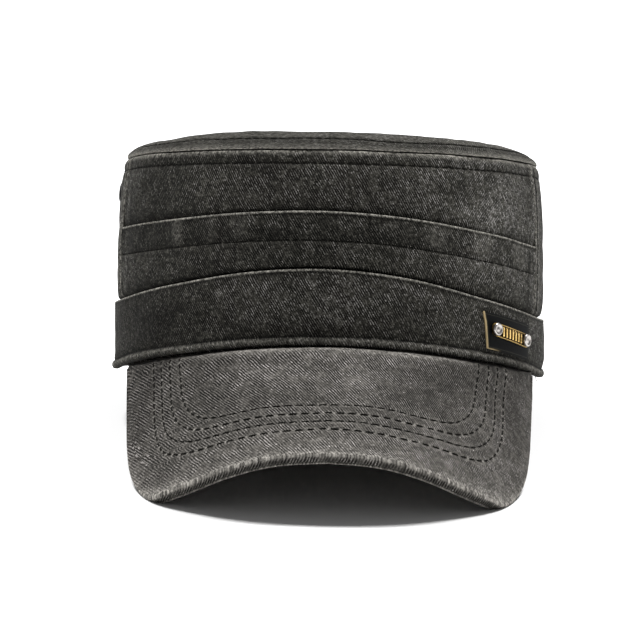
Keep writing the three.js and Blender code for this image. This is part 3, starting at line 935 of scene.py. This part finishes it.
def headband():
    """The band: its table's rows round the cap, with puckers under its folded edge and a
    hem that swells and thins a little."""
    around = stops((-180, -95, 95, 180), (110, 420, 110))[:-1]
    weights = knots_to_rows(BAND_ROWS, closed=True)
    bottom = hem_line(around) - bumps(HEM_SAGS, around, 0)
    wall = band_top(around) - bottom - HEM_HEIGHT
    levels = np.stack((np.full_like(wall, HEM_HEIGHT), wall, np.ones_like(wall)))
    anchors = np.stack([BAND_ROWS[key] for key in ("hem", "wall", "rise")], 1)
    height = bottom[:, None] + (weights @ (anchors @ levels)).T
    out, wear, shade = (
        np.broadcast_to(weights @ BAND_ROWS[key], height.shape).copy() for key in ("out", "wear", "shade"))
    angle = np.broadcast_to(around[:, None], height.shape)
    # One on the outer face, and nothing where the cloth has turned inwards
    face = np.clip((out + 1.2) / 0.6, 0, 1)
    bare = oval(angle, height, 1, 0)
    along = bare * np.array([1, 1, 0])
    from_hem = (height - bottom[:, None]) / HEM_HEIGHT
    from_top = band_top(angle) - height
    # The wall between the hem and the folded edge swells softly, and both edges pucker
    body = np.clip(from_hem - 1.3, 0, 1) * np.clip(from_top / 3, 0, 1)
    out += face * body * (0.3 * waves(bare, 22, 60, 16, 31) + 0.08 * waves(bare, 6, 13, 24, 32))
    out += face * 0.14 * waves(along, 8, 20, 16, 33) * np.exp(-((from_top - 3) / 2.5) ** 2)
    out += face * 0.16 * waves(along, 9, 24, 12, 34) * np.exp(-((from_hem - 0.5) / 0.6) ** 2)
    # The band's own joining seam at the back, with painted shade in it and rubbed cloth beside it
    back = np.abs(np.abs(angle) - 180) * ARC_PER_DEGREE
    out -= face * 0.5 * np.exp(-(back / 0.5) ** 2)
    shade -= face * 0.8 * np.exp(-(back / 0.7) ** 2)
    wear += face * 0.3 * np.exp(-((back - 1.2) / 0.6) ** 2)
    # The wash's tone, with painted light and shade
    shade += face * bumps(WASH_AND_PAINTED_LIGHT, angle, height)
    points = oval(angle, height, 1, -out)
    # Cloth that would reach below the table lies flat on it
    low = seated(points)[..., 2] / MM
    points[..., 2] -= np.minimum(low, 0) / math.cos(LEAN)
    full = np.append(around, 180)
    flat = np.stack((
        np.broadcast_to(full[:, None] * ARC_PER_DEGREE, (len(full), height.shape[1])),
        np.concatenate((height, height[:1])),
    ), -1)
    piece = sew_piece(
        "headband_cloth", points, flat, crown_denim,
        np.clip(wear, 0, 1), np.clip(shade, -1, 1), ring=True)
    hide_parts("headband")
    return piece


band = headband()


# Brim

def brim_middle(station, along):
    """The brim's middle surface: from the band's inner edge out along the offset of its edge
    at that station, with a low arch on the way."""
    around = station * BRIM_HALF_ANGLE
    inner = oval(around, hem_line(around) - SEAM_GAP - BRIM_THICKNESS * BRIM_SINK, 1, BRIM_INSERT)
    flare, reach, drop = (
        cubic(BRIM_EDGE["station"], BRIM_EDGE[name], np.abs(station))
        for name in ("flare", "reach", "drop"))
    offset = np.stack(np.broadcast_arrays(
        np.sign(station) * flare * BRIM_FLARE * along + BRIM_ASIDE * np.abs(station) ** 3,
        -reach * BRIM_REACH * along,
        -drop * BRIM_DROP * along + BRIM_ARCH * reach * np.sin(np.pi * along),
    ), -1)
    return inner + offset


def brim_point(station, along, lift, beyond=0.0):
    """The middle surface moved up along its normal, and beyond its edge along its slope, and
    that normal: the cross product of the ways outward and across."""
    step = 0.02
    s = np.clip(station, step - 1, 1 - step)
    a = np.clip(along, step, 1 - step)
    across = brim_middle(s + step, a) - brim_middle(s - step, a)
    outward = brim_middle(s, a + step) - brim_middle(s, a - step)
    normal = unit(np.cross(outward, across))
    normal *= np.where(normal[..., 2:] < 0, -1, 1)
    lift, beyond = np.asarray(lift)[..., None], np.asarray(beyond)[..., None]
    return brim_middle(station, along) + normal * lift + unit(outward) * beyond, normal


def stitch_turn(row):
    """Stations and shares along a U-shaped row, from its left root over the middle to the
    right, without its ends under the band."""
    steps = np.linspace(0, len(STITCH_TURN["station"]) - 1, 400)
    keys = np.arange(len(STITCH_TURN["station"]), dtype=float)
    station = cubic(keys, STITCH_TURN["station"], steps) * STITCH_ROWS["station"][row]
    along = cubic(keys, STITCH_TURN["along"], steps) * STITCH_ROWS["along"][row]
    station = np.concatenate((-station[::-1], station[1:]))
    along = np.concatenate((along[::-1], along[1:]))
    shown = along > 0.03
    return station[shown], along[shown]


# Millimetres for a whole station and a whole share along
BRIM_SHARES = np.array([BRIM_HALF_ANGLE * ARC_PER_DEGREE, BRIM_REACH * 1.25])

# How high over the brim's middle surface a row's grooves are measured and its threads lie
GROOVE_LIFT = 1.75
STITCH_LIFT = 1.7

# How much of the brim's low waves its underside follows
UNDER_SWELL = 0.6


def brim_path(row):
    """A row of stitches as places in millimetres of station and share, and how many stitches
    lie before each place."""
    station, along = stitch_turn(row)
    points, _ = brim_point(station, along, np.full(len(along), GROOVE_LIFT))
    length = np.concatenate(([0], np.cumsum(np.linalg.norm(np.diff(points, axis=0), axis=1))))
    count = int(length[-1] / BRIM_PITCH)
    return np.stack((station, along), -1) * BRIM_SHARES, length * count / length[-1]


def brim_swell(points):
    """The low waves of the brim, in millimetres."""
    return 0.3 * waves(points, 26, 70, 14, 41)


def settled(along):
    """One on the brim's open surface, fading to nothing at the band and at the edge."""
    return np.clip(along / 0.1, 0, 1) * np.clip((1 - along) / 0.08, 0, 1)


def brim():
    """The brim: its table's rows at each station, with low waves, a groove along each row of
    stitches, and the cloth puckered up between one stitch and the next."""
    station = np.linspace(-1, 1, 361)
    weights = knots_to_rows(BRIM_ROWS, closed=True)
    along, beyond, lift, wear, shade = (
        np.broadcast_to(weights @ BRIM_ROWS[key], (len(station), len(weights))).copy()
        for key in ("along", "beyond", "lift", "wear", "shade"))
    across = np.broadcast_to(station[:, None], along.shape)
    along = np.clip(along, 0, 1)
    upper = (lift > 0.9).astype(float)
    lift = lift * BRIM_THICKNESS / 2
    bare, _ = brim_point(across, along, lift, beyond)

    # The distance from the nearest row of stitches, and how near its place is to a gap
    # between two stitches
    nearest = np.full(along.shape, 99.0)
    at_gap = np.zeros(along.shape)
    here = np.stack((across, along), -1)[..., None, :] * BRIM_SHARES
    for row in range(len(STITCH_ROWS["station"])):
        path, turns = (line[::2] for line in brim_path(row))
        for start in range(0, len(path), 60):
            some = path[None, None, start:start + 60]
            gap = np.linalg.norm((here - some).astype(np.float32), axis=-1)
            best = gap.argmin(-1)
            distance = np.take_along_axis(gap, best[..., None], -1)[..., 0]
            closer = distance < nearest
            nearest = np.where(closer, distance, nearest)
            at_gap = np.where(closer, np.cos(2 * np.pi * turns[start + best]), at_gap)
    groove = np.exp(-(nearest / 0.6) ** 2)
    pucker = np.clip(at_gap, 0, 1) ** 2 * np.exp(-(nearest / 0.55) ** 2)
    lift += brim_swell(bare) * settled(along) * np.where(lift > 0, 1, UNDER_SWELL)
    lift += upper * (0.06 * waves(bare, 5, 12, 24, 42) * settled(along) - 0.34 * groove + 0.2 * pucker)
    # Painted shade in the grooves of the stitch rows, less on the puckers
    shade -= upper * 0.25 * groove * (1 - pucker)
    # The wash's tone, with painted light and shade
    shade += upper * bumps(BRIM_WASH_AND_PAINTED_LIGHT, across, along)
    # Beside the band, towards the sides, the pale line of its root fades out, and painted shade darkens
    # the cloth under the hem
    outer = np.clip((np.abs(across) - 0.35) / 0.3, 0, 1)
    root = np.clip(1 - along / 0.2, 0, 1)
    wear *= 1 - outer * (root > 0)
    shade -= upper * 0.6 * outer * root
    wear += upper * (0.1 * np.exp(-((nearest - 1.1) / 0.5) ** 2) + 0.55 * pucker)
    # Its corners are rubbed as pale as its edge
    corner = np.exp(-((np.abs(across) - 0.64) / 0.12) ** 2) * np.clip((along - 0.9) / 0.1, 0, 1)
    wear += upper * 0.25 * corner
    points, _ = brim_point(across, along, lift, beyond)
    # The table holds the brim up at its corners
    low = seated(points)[..., 2] / MM
    points[..., 2] -= np.minimum(low, 0) / math.cos(LEAN)

    # The flat cloth: distance across the slope from the middle, and distance down the slope
    slope = unit(np.array([0.0, -BRIM_REACH, -0.8 * BRIM_DROP]))
    steps = np.diff(points, axis=0)
    sideways = steps - (steps @ slope)[..., None] * slope
    lengths = np.cumsum(np.linalg.norm(sideways, axis=-1), 0)
    run = np.concatenate((np.zeros((1, points.shape[1])), lengths))
    run -= run[len(station) // 2]
    depth = points @ slope + lift * 0.5
    flat = np.stack((run, -depth), -1)
    piece = sew_piece(
        "brim_cloth", points, flat, brim_denim,
        np.clip(wear, 0, 1), np.clip(shade, -1, 1))
    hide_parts("brim")
    return piece


peak = brim()


# Stitches

def stitch_row(path, out, pitch, share, thickness):
    """Threads along a path of close points: each stitch is a round thread whose middle line
    arches over the cloth and dips into it at both ends. A stitch fills a share of the pitch.
    Gives the points by stitch, station and side."""
    length = np.concatenate(([0], np.cumsum(np.linalg.norm(np.diff(path, axis=0), axis=1))))
    count = max(1, int(length[-1] / pitch))
    middle = (np.arange(count) + 0.5) * length[-1] / count
    turn = np.linspace(-1, 1, 6)
    at = middle[:, None] + turn * pitch * share / 2
    place = np.stack([np.interp(at, length, path[:, i]) for i in range(3)], -1)
    normal = unit(np.stack([np.interp(at, length, out[:, i]) for i in range(3)], -1))
    tangent = unit(np.gradient(place, axis=1))
    side = unit(np.cross(tangent, normal))
    place = place + normal * (thickness * (0.42 - 0.95 * turn ** 4))[None, :, None]
    girth = thickness / 2 * np.sqrt(1.02 - turn ** 6)
    angle = np.linspace(0, 2 * np.pi, 6, endpoint=False)
    ring = (np.cos(angle)[:, None] * side[:, :, None] + np.sin(angle)[:, None] * normal[:, :, None])
    points = place[:, :, None] + ring * girth[None, :, None, None]
    return points


def sew(name, rows):
    """One piece of many stitches, from rows of points by stitch, station and side."""
    points = np.concatenate(rows)
    count, stations, sides = points.shape[:3]
    s, i, k = np.meshgrid(np.arange(count), np.arange(stations - 1), np.arange(sides), indexing="ij")
    here = (s * stations + i) * sides
    after = (k + 1) % sides
    faces = np.stack((here + k, here + after, here + sides + after, here + sides + k), -1).reshape(-1, 4)
    start = np.arange(count)[:, None] * stations * sides + np.arange(sides)
    ends = [*start[:, ::-1].tolist(), *(start + (stations - 1) * sides).tolist()]
    return make_piece(name, seated(points.reshape(-1, 3)), faces, thread, extra=ends)


def crown_path(around, height, inset):
    """Points of the crown's cloth and the way out of it, along given angles and heights: the
    cross product of the ways round and up."""
    step = 0.5
    points = crown(around, height, inset)
    across = crown(around + step, height, inset) - crown(around - step, height, inset)
    up = crown(around, height + step, inset) - crown(around, height - step, inset)
    return points, unit(np.cross(across, up))


def crown_row(around, height, groove):
    """Stitches along angles and heights, in a groove of a depth in the uneven cloth."""
    inset = groove - crown_swell(crown(around, height, 0))
    return stitch_row(*crown_path(around, height, inset), CROWN_PITCH, CROWN_FILL, THREAD)


fine = np.linspace(-180, 180, 2400)
front_fine = np.linspace(LEFT_SEAM + 1, RIGHT_SEAM - 1, 1200)
upright = np.linspace(0, 1, 300)
crown_rows = [
    crown_row(fine, np.full_like(fine, CROWN_HEIGHT - SEAM_ROW), 0.3),
    crown_row(front_fine, tuck_line(front_fine) - TUCK_ROW, 0.3),
]
for side in (
    LEFT_SEAM - SIDE_ROW / ARC_PER_DEGREE,
    RIGHT_SEAM + RIGHT_SIDE_ROW / ARC_PER_DEGREE,
    SIDE_ROW / ARC_PER_DEGREE - 180,
    180 - SIDE_ROW / ARC_PER_DEGREE,
):
    # From 2 mm above the band to 5 mm below the crown's height
    around = np.full_like(upright, side)
    height = band_top(around) + 2 + upright * (CROWN_HEIGHT - 7 - band_top(around))
    crown_rows.append(crown_row(around, height, 0.25))


def rim_path(around, arc):
    """The crown top's roll at a distance from its seam, and the way out of it."""
    levels = np.array([arc - 0.5, arc, arc + 0.5, TOP_ROWS["arc"][-1]])
    inset, rise = top_roll(levels, np.zeros(len(levels)), 0)
    rows = []
    for i in range(3):
        base = crown(around, np.full_like(around, CROWN_HEIGHT), inset[0, i])
        base[:, 2] = CROWN_HEIGHT + SEAM_GAP + rise[0, i] - top_dent(around, rise[0, i] / TOP_RISE)
        rows.append(base)
    tangent = np.gradient(rows[1], axis=0)
    return rows[1], unit(np.cross(tangent, rows[2] - rows[0]))


rim_points, rim_out = rim_path(fine, TOP_ROW)
crown_rows.append(stitch_row(rim_points - rim_out * 0.2, rim_out, CROWN_PITCH, CROWN_FILL, THREAD))
sew("crown_stitches", crown_rows)


def root_lift(along):
    """How far the brim's upper face is raised near the band, as its table has it."""
    upper = BRIM_ROWS["lift"] >= 1
    return np.interp(along, BRIM_ROWS["along"][upper], BRIM_ROWS["lift"][upper]) - 1


# Threads lie on both faces of the brim, where its waves carry them
brim_rows = []
for row in range(len(STITCH_ROWS["station"])):
    station, along = stitch_turn(row)
    for face, ease in ((1, 1), (-1, UNDER_SWELL)):
        bare, _ = brim_point(station, along, np.full(len(along), face * BRIM_THICKNESS / 2))
        lift = face * STITCH_LIFT + ease * brim_swell(bare) * settled(along)
        lift += (face > 0) * BRIM_THICKNESS / 2 * root_lift(along)
        points, normal = brim_point(station, along, lift)
        brim_rows.append(stitch_row(points, normal * face, BRIM_PITCH, BRIM_FILL, BRIM_THREAD))

# The loose end hangs out below the hem, as one stitch that faces the front
tail = np.array(TAIL_START) + np.linspace(0, 1, 30)[:, None] * TAIL_RUN
towards = np.broadcast_to((0.0, -1.0, 0.0), tail.shape)
brim_rows.append(stitch_row(tail, towards, TAIL_PITCH, 0.9, TAIL_THREAD))
sew("brim_stitches", brim_rows)


# Badge

# The badge hangs askew: how far the patch and the plate drop for each millimetre to the
# right, and how much lower the whole patch lies
PATCH_TILT = 0.023
PLATE_TILT = 0.067
PATCH_DROP = 0.44

# How far the patch's left edge leans over, at heights from its foot to its top
PATCH_LEAN = table(
    "up across",
    (-7.2, 1.2),
    (0, 0.3),
    (3, -0.1),
    (5.5, -1),
    (7.2, -1.5),
)

# Gilt bars on the plate
BAR_COUNT = 7
BAR_SPACING = 2.15
BAR_HALF_WIDTH = 0.5
BAR_HALF_HEIGHT = 1.85
BAR_CORNER = 0.2

# From the middle of the patch's face over its edge and under it: how far each ring lies
# inside the outline, how high it stands above the band, and how creased and cut it is
PATCH_RINGS = table(
    "inset stand crease cut",
    (7.15, 1.52, 0, 0),
    (5, 1.52, 0, 0),
    (3, 1.52, 0, 0),
    (1.5, 1.52, 0, 0),
    (1.1, 1.5, 0, 0),
    (0.85, 1.38, 0.8, 0),
    (0.6, 1.5, 0, 0),
    (0.3, 1.5, 0, 0.4),
    (0.08, 1.44, 0.3, 1),
    (0, 1.2, 0.1, 1),
    (0, 0.7, 0, 1),
    (0.05, 0.46, 0, 0.4),
    (0.4, 0.42, 0, 0),
    (3, 0.42, 0, 0),
    (7.15, 0.42, 0, 0),
)

# The same for the plate, with how gilt each ring is
PLATE_RINGS = table(
    "inset stand gilt",
    (2.65, 2.5, 0),
    (1.9, 2.5, 0),
    (1.2, 2.5, 0),
    (0.55, 2.5, 0),
    (0.44, 2.55, 0.1),
    (0.36, 2.74, 0.4),
    (0.24, 2.8, 0.5),
    (0.1, 2.76, 0.5),
    (0, 2.6, 0.4),
    (0, 1.95, 0.3),
    (0.15, 1.82, 0),
    (1.2, 1.82, 0),
    (2.65, 1.82, 0),
)

# The same for a bar on the plate
BAR_RINGS = table(
    "inset stand gilt",
    (0.38, 2.92, 1),
    (0.14, 2.9, 1),
    (0, 2.78, 1),
    (0, 2.44, 1),
    (0.38, 2.42, 1),
)

# A rivet from its middle to its foot: a raised ring round a shallow dished middle
RIVET_PROFILE = table(
    "radius height",
    (0.04, 0.98),
    (0.6, 0.93),
    (1.2, 0.82),
    (1.45, 0.88),
    (1.7, 1.18),
    (2, 1.3),
    (2.35, 1.16),
    (2.55, 0.75),
    (2.6, 0.12),
    (2.45, 0),
    (0.04, 0),
)

# An eyelet's section, from its bore over the outer flange and back over the inner one
EYELET_PROFILE = table(
    "radius height",
    (1.8, 1.75),
    (2.05, 2),
    (2.9, 2),
    (3.7, 1.75),
    (4, 1.4),
    (3.9, 1.3),
    (2.6, 1.3),
    (2.6, -1.3),
    (3.9, -1.3),
    (4, -1.45),
    (3.8, -1.95),
    (2.05, -2),
    (1.8, -1.8),
)


def badge_point(across, up, stand):
    """A place on the band, in millimetres across and up from the badge's middle, at a height
    above the band's face."""
    around = BADGE_ANGLE + across / ARC_PER_DEGREE
    middle = (hem_line(around) + band_top(around)) / 2
    return oval(around, middle + up, 1, -np.asarray(stand))


def rounded_box(half_length, half_height, corner):
    """The outline of a box with round corners, from the middle of its right end over the top
    to the left end and back below: a quarter of it, mirrored twice."""
    turn = np.linspace(0, np.pi / 2, 9)
    side = np.linspace(0, half_height - corner, 5)[:-1]
    over = np.linspace(half_length - corner, 0, 13)[1:]
    quarter = np.concatenate((
        np.stack((np.full(4, half_length), side), -1),
        np.stack((np.cos(turn), np.sin(turn)), -1) * corner + (half_length - corner, half_height - corner),
        np.stack((over, np.full(12, half_height)), -1),
    ))
    upper = np.concatenate((quarter, quarter[-2::-1] * (-1, 1)))
    return np.concatenate((upper, upper[-2:0:-1] * (1, -1)))


def pad(size, rings, tilt, centre=0.0, marks=(), drop=0.0, leaning=0.0):
    """A pad on the band with round corners: rings of its outline drawn in by their inset and
    raised to their stand, its left end leaning over. Both middles are closed by strips from
    the upper to the lower half. size holds half its length, half its height and its corner."""
    outlines = np.stack([
        rounded_box(size[0] - inset, size[1] - inset, max(size[2] - inset, 0.02))
        for inset in rings["inset"]])
    across, up = outlines[..., 0] + centre, outlines[..., 1]
    lean = np.interp(up, PATCH_LEAN["up"], PATCH_LEAN["across"])
    lean = lean * np.clip(-across / size[0], 0, 1) * leaning
    points = badge_point(across + lean, up - tilt * across - drop, rings["stand"][:, None])
    count, around = across.shape
    i = np.arange(around)
    after = (i + 1) % around
    faces = np.concatenate([
        np.stack((r * around + i, r * around + after, (r + 1) * around + after, (r + 1) * around + i), -1)
        for r in range(count - 1)])
    half = around // 2
    cap = [(0, 1, around - 1), (half - 1, half, half + 1)]
    cap += [(k, k + 1, around - k - 1, around - k) for k in range(1, half - 1)]
    start = (count - 1) * around
    extra = [face[::-1] for face in cap] + [tuple(start + k for k in face) for face in cap]
    values = {key: np.repeat(rings[key], around) for key in marks}
    return points.reshape(-1, 3), faces, extra, values, across.ravel()


def turned(profile, sides, seat, out, closed):
    """A shape turned round an axis from its profile of radius and height. A profile that
    isn't a closed loop ends in small flat middles."""
    out = unit(out)
    side = unit(np.cross(out, (0, 0, 1.0)))
    up = np.cross(side, out)
    angle = np.linspace(0, 2 * np.pi, sides, endpoint=False)[:, None]
    ring = np.cos(angle) * side + np.sin(angle) * up
    radius, height = profile["radius"], profile["height"]
    points = seat + height[:, None, None] * out + radius[:, None, None] * ring
    across, upward = grid_faces(len(radius), sides, closed, True)
    faces = (across % len(radius)) * sides + upward % sides
    i = np.arange(sides)
    ends = [] if closed else [i[::-1].tolist(), (i + (len(radius) - 1) * sides).tolist()]
    return points.reshape(-1, 3), faces, ends


def leather_material():
    """Black leather with a fine pressed grain: a near-black face with hardly any gloss, a
    paler crease along its border, and a tan cut edge whose tan is drawn paler than its own,
    as painted light."""
    material, tree, shader = start_material(
        "leather_black_pressed_grain", roughness=0.7, specular_ior_level=0.08)
    place = node(tree, "TexCoord").outputs["Object"]
    grain = node(tree, "TexVoronoi", {"Vector": place, "Scale": 1 / 0.0006}).outputs["Distance"]
    face = blend(tree, mark(tree, "crease"), linear("#08090a"), linear("#33322b"))
    # The cut edge: its real tan, drawn paler as painted light on the edge
    colour = blend(tree, mark(tree, "cut"), face, linear("#e0c898"))
    tree.links.new(colour, shader.inputs["Base Color"])
    bump = node(tree, "Bump", {"Height": grain, "Strength": 0.35, "Distance": 0.05 * MM})
    tree.links.new(bump.outputs["Normal"], shader.inputs["Normal"])
    return material


def gilt_material():
    """Stamped brass, gilt and polished on its raised rim and bars, and toned dark bronze in
    the field between them, so that the eye reads bright lines on a brown ground."""
    material, tree, shader = start_material("brass_gilt_stamped", metallic=1.0)
    place = node(tree, "TexCoord").outputs["Object"]
    gilt = mark(tree, "gilt")
    tarnish = noise(tree, place, 0.0011, 3.0)
    bright = blend(tree, tarnish, linear("#dca850"), linear("#ffe69a"))
    colour = blend(tree, gilt, linear("#2e1d0c"), bright)
    tree.links.new(colour, shader.inputs["Base Color"])
    rough = node(tree, "MapRange", {"Value": gilt, "To Min": 0.6, "To Max": 0.32}).outputs["Result"]
    tree.links.new(rough, shader.inputs["Roughness"])
    return material


def nickel_material():
    """Nickel-plated steel, pressed and tumbled: bright on its ring, faintly clouded by fine
    scratches that soften what it mirrors."""
    material, tree, shader = start_material("steel_nickel_plated", metallic=1.0)
    shader.inputs["Base Color"].default_value = linear("#b4afab")
    place = node(tree, "TexCoord").outputs["Object"]
    scratches = noise(tree, place, 0.0004, 3.0)
    rough = node(tree, "MapRange", {"Value": scratches, "To Min": 0.2, "To Max": 0.42}).outputs["Result"]
    tree.links.new(rough, shader.inputs["Roughness"])
    return material


def eyelet_material():
    """Brass eyelet under black stoving enamel: a smooth dark coat with a soft gloss, a little
    worn to grey where it is handled."""
    material, tree, shader = start_material("brass_black_enamelled", roughness=0.4)
    place = node(tree, "TexCoord").outputs["Object"]
    rubbed = noise(tree, place, 0.0012, 3.0)
    colour = blend(tree, rubbed, linear("#0d0d0d"), linear("#262626"))
    tree.links.new(colour, shader.inputs["Base Color"])
    return material


def badge():
    """The patch with its tan left edge, the plate with its bars, and the two rivets."""
    size = (PATCH_LENGTH / 2, PATCH_HEIGHT / 2, PATCH_CORNER)
    points, faces, extra, marks, across = pad(
        size, PATCH_RINGS, PATCH_TILT, marks=("crease", "cut"), drop=PATCH_DROP, leaning=1.0)
    # The cut shows at the left end, and half as much along the lower edge near it
    left = np.clip((-across - PATCH_LENGTH / 2 + PATCH_CORNER) / 0.3, 0, 1)
    ring = len(across) // len(PATCH_RINGS["inset"])
    below = np.arange(len(across)) % ring > ring // 2 + 2
    low = np.clip((-across - 7) / 6, 0, 1) * 0.5 * below
    marks["cut"] = marks["cut"] * np.maximum(left, low)
    patch = make_piece(
        "badge_patch_leather", seated(points), faces, leather_material(),
        marks=marks, extra=extra)
    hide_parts("badge_patch")

    half = PLATE_HEIGHT / 2
    parts = [pad((PLATE_LENGTH / 2, half, half), PLATE_RINGS, PLATE_TILT, marks=("gilt",))]
    size = (BAR_HALF_WIDTH, BAR_HALF_HEIGHT, BAR_CORNER)
    for bar in range(BAR_COUNT):
        centre = (bar - (BAR_COUNT - 1) / 2) * BAR_SPACING
        parts.append(pad(size, BAR_RINGS, PLATE_TILT, centre, ("gilt",)))
    points = np.concatenate([part[0] for part in parts])
    starts = np.cumsum([0] + [len(part[0]) for part in parts])
    faces = np.concatenate([part[1] + start for part, start in zip(parts, starts)])
    extra = [tuple(int(k + start) for k in face) for part, start in zip(parts, starts) for face in part[2]]
    gilt = np.concatenate([part[3]["gilt"] for part in parts])
    plate = make_piece(
        "badge_plate_gilt", seated(points), faces, gilt_material(),
        marks={"gilt": gilt}, extra=extra)
    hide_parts("badge_plate")

    # The rivets sit a little to the left of the plate's own middle
    nickel = nickel_material()
    foot = PATCH_STAND + PATCH_THICKNESS + PLATE_THICKNESS + 2 * SEAM_GAP
    for name, side in (("left", -1), ("right", 1)):
        across = side * (PLATE_LENGTH / 2 - RIVET_INSET) - RIVET_ASIDE
        seat = badge_point(across, -PLATE_TILT * across, foot)
        out = badge_point(across, -PLATE_TILT * across, foot + 1) - seat
        points, faces, ends = turned(RIVET_PROFILE, 40, seat, out, False)
        rivet = make_piece(
            "rivet_" + name + "_nickel", seated(points), faces, nickel, extra=ends)
        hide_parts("rivet_" + name)


def eyelets():
    """The vent eyelets, square to the cloth."""
    enamel = eyelet_material()
    for name, around in (("left", LEFT_EYELET), ("right", RIGHT_EYELET)):
        seat, out = crown_path(np.array([float(around)]), np.array([EYELET_HEIGHT]), CLOTH / 2)
        points, faces, _ = turned(EYELET_PROFILE, 40, seat[0], out[0], True)
        eyelet = make_piece(
            "eyelet_" + name + "_enamelled", seated(points), faces, enamel)
        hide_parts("eyelet_" + name)


badge()
eyelets()


# Camera, floor and light

def aim_camera():
    """The camera looks along +Y and down, at a point of the cap's axis, and rolls a little."""
    tilt = math.radians(CAMERA_ELEVATION)
    roll = math.radians(CAMERA_ROLL)
    right = np.array([1, 0, 0])
    up = np.array([0, math.sin(tilt), math.cos(tilt)])
    back = np.array([0, -math.cos(tilt), math.sin(tilt)])
    aim = np.array([CAMERA_ASIDE, SEAT[1], CAMERA_AIM_HEIGHT]) * MM
    place = aim + back * CAMERA_DISTANCE
    turned_right = right * math.cos(roll) + up * math.sin(roll)
    turned_up = up * math.cos(roll) - right * math.sin(roll)
    columns = np.column_stack((turned_right, turned_up, back, place))
    data = bpy.data.cameras.new("camera")
    data.lens = CAMERA_LENS
    data.sensor_width = 36
    data.clip_start = 0.05
    data.clip_end = 60
    camera = bpy.data.objects.new("camera", data)
    camera.matrix_world = Matrix(np.vstack((columns, (0, 0, 0, 1))).tolist())
    bpy.context.collection.objects.link(camera)
    bpy.context.scene.camera = camera


def floor_and_light():
    """A pale floor that fills the picture, two broad lamps overhead and an even room."""
    mesh = bpy.data.meshes.new("floor")
    reach = 12
    corners = [(-reach, -reach, 0), (reach, -reach, 0), (reach, reach, 0), (-reach, reach, 0)]
    mesh.from_pydata(corners, [], [(0, 1, 2, 3)])
    material, _, shader = start_material("floor_painted_white", roughness=0.9)
    shader.inputs["Base Color"].default_value = linear("#f4f4f4")
    mesh.materials.append(material)
    floor = bpy.data.objects.new("floor", mesh)
    bpy.context.collection.objects.link(floor)

    for name, aside in (("key_left", -LIGHT_ASIDE), ("key_right", LIGHT_ASIDE)):
        sun = bpy.data.lights.new(name, "SUN")
        sun.energy = LIGHT_STRENGTH
        sun.angle = math.radians(LIGHT_SPREAD)
        key = bpy.data.objects.new(name, sun)
        key.rotation_euler = (math.radians(-LIGHT_BEHIND), math.radians(aside), 0)
        bpy.context.collection.objects.link(key)

    world = bpy.data.worlds.new("studio")
    world.use_nodes = True
    background = world.node_tree.nodes["Background"]
    background.inputs["Color"].default_value = (1, 1, 1, 1)
    background.inputs["Strength"].default_value = ROOM_LIGHT
    bpy.context.scene.world = world
    bpy.context.scene.view_settings.view_transform = "Standard"


aim_camera()
floor_and_light()
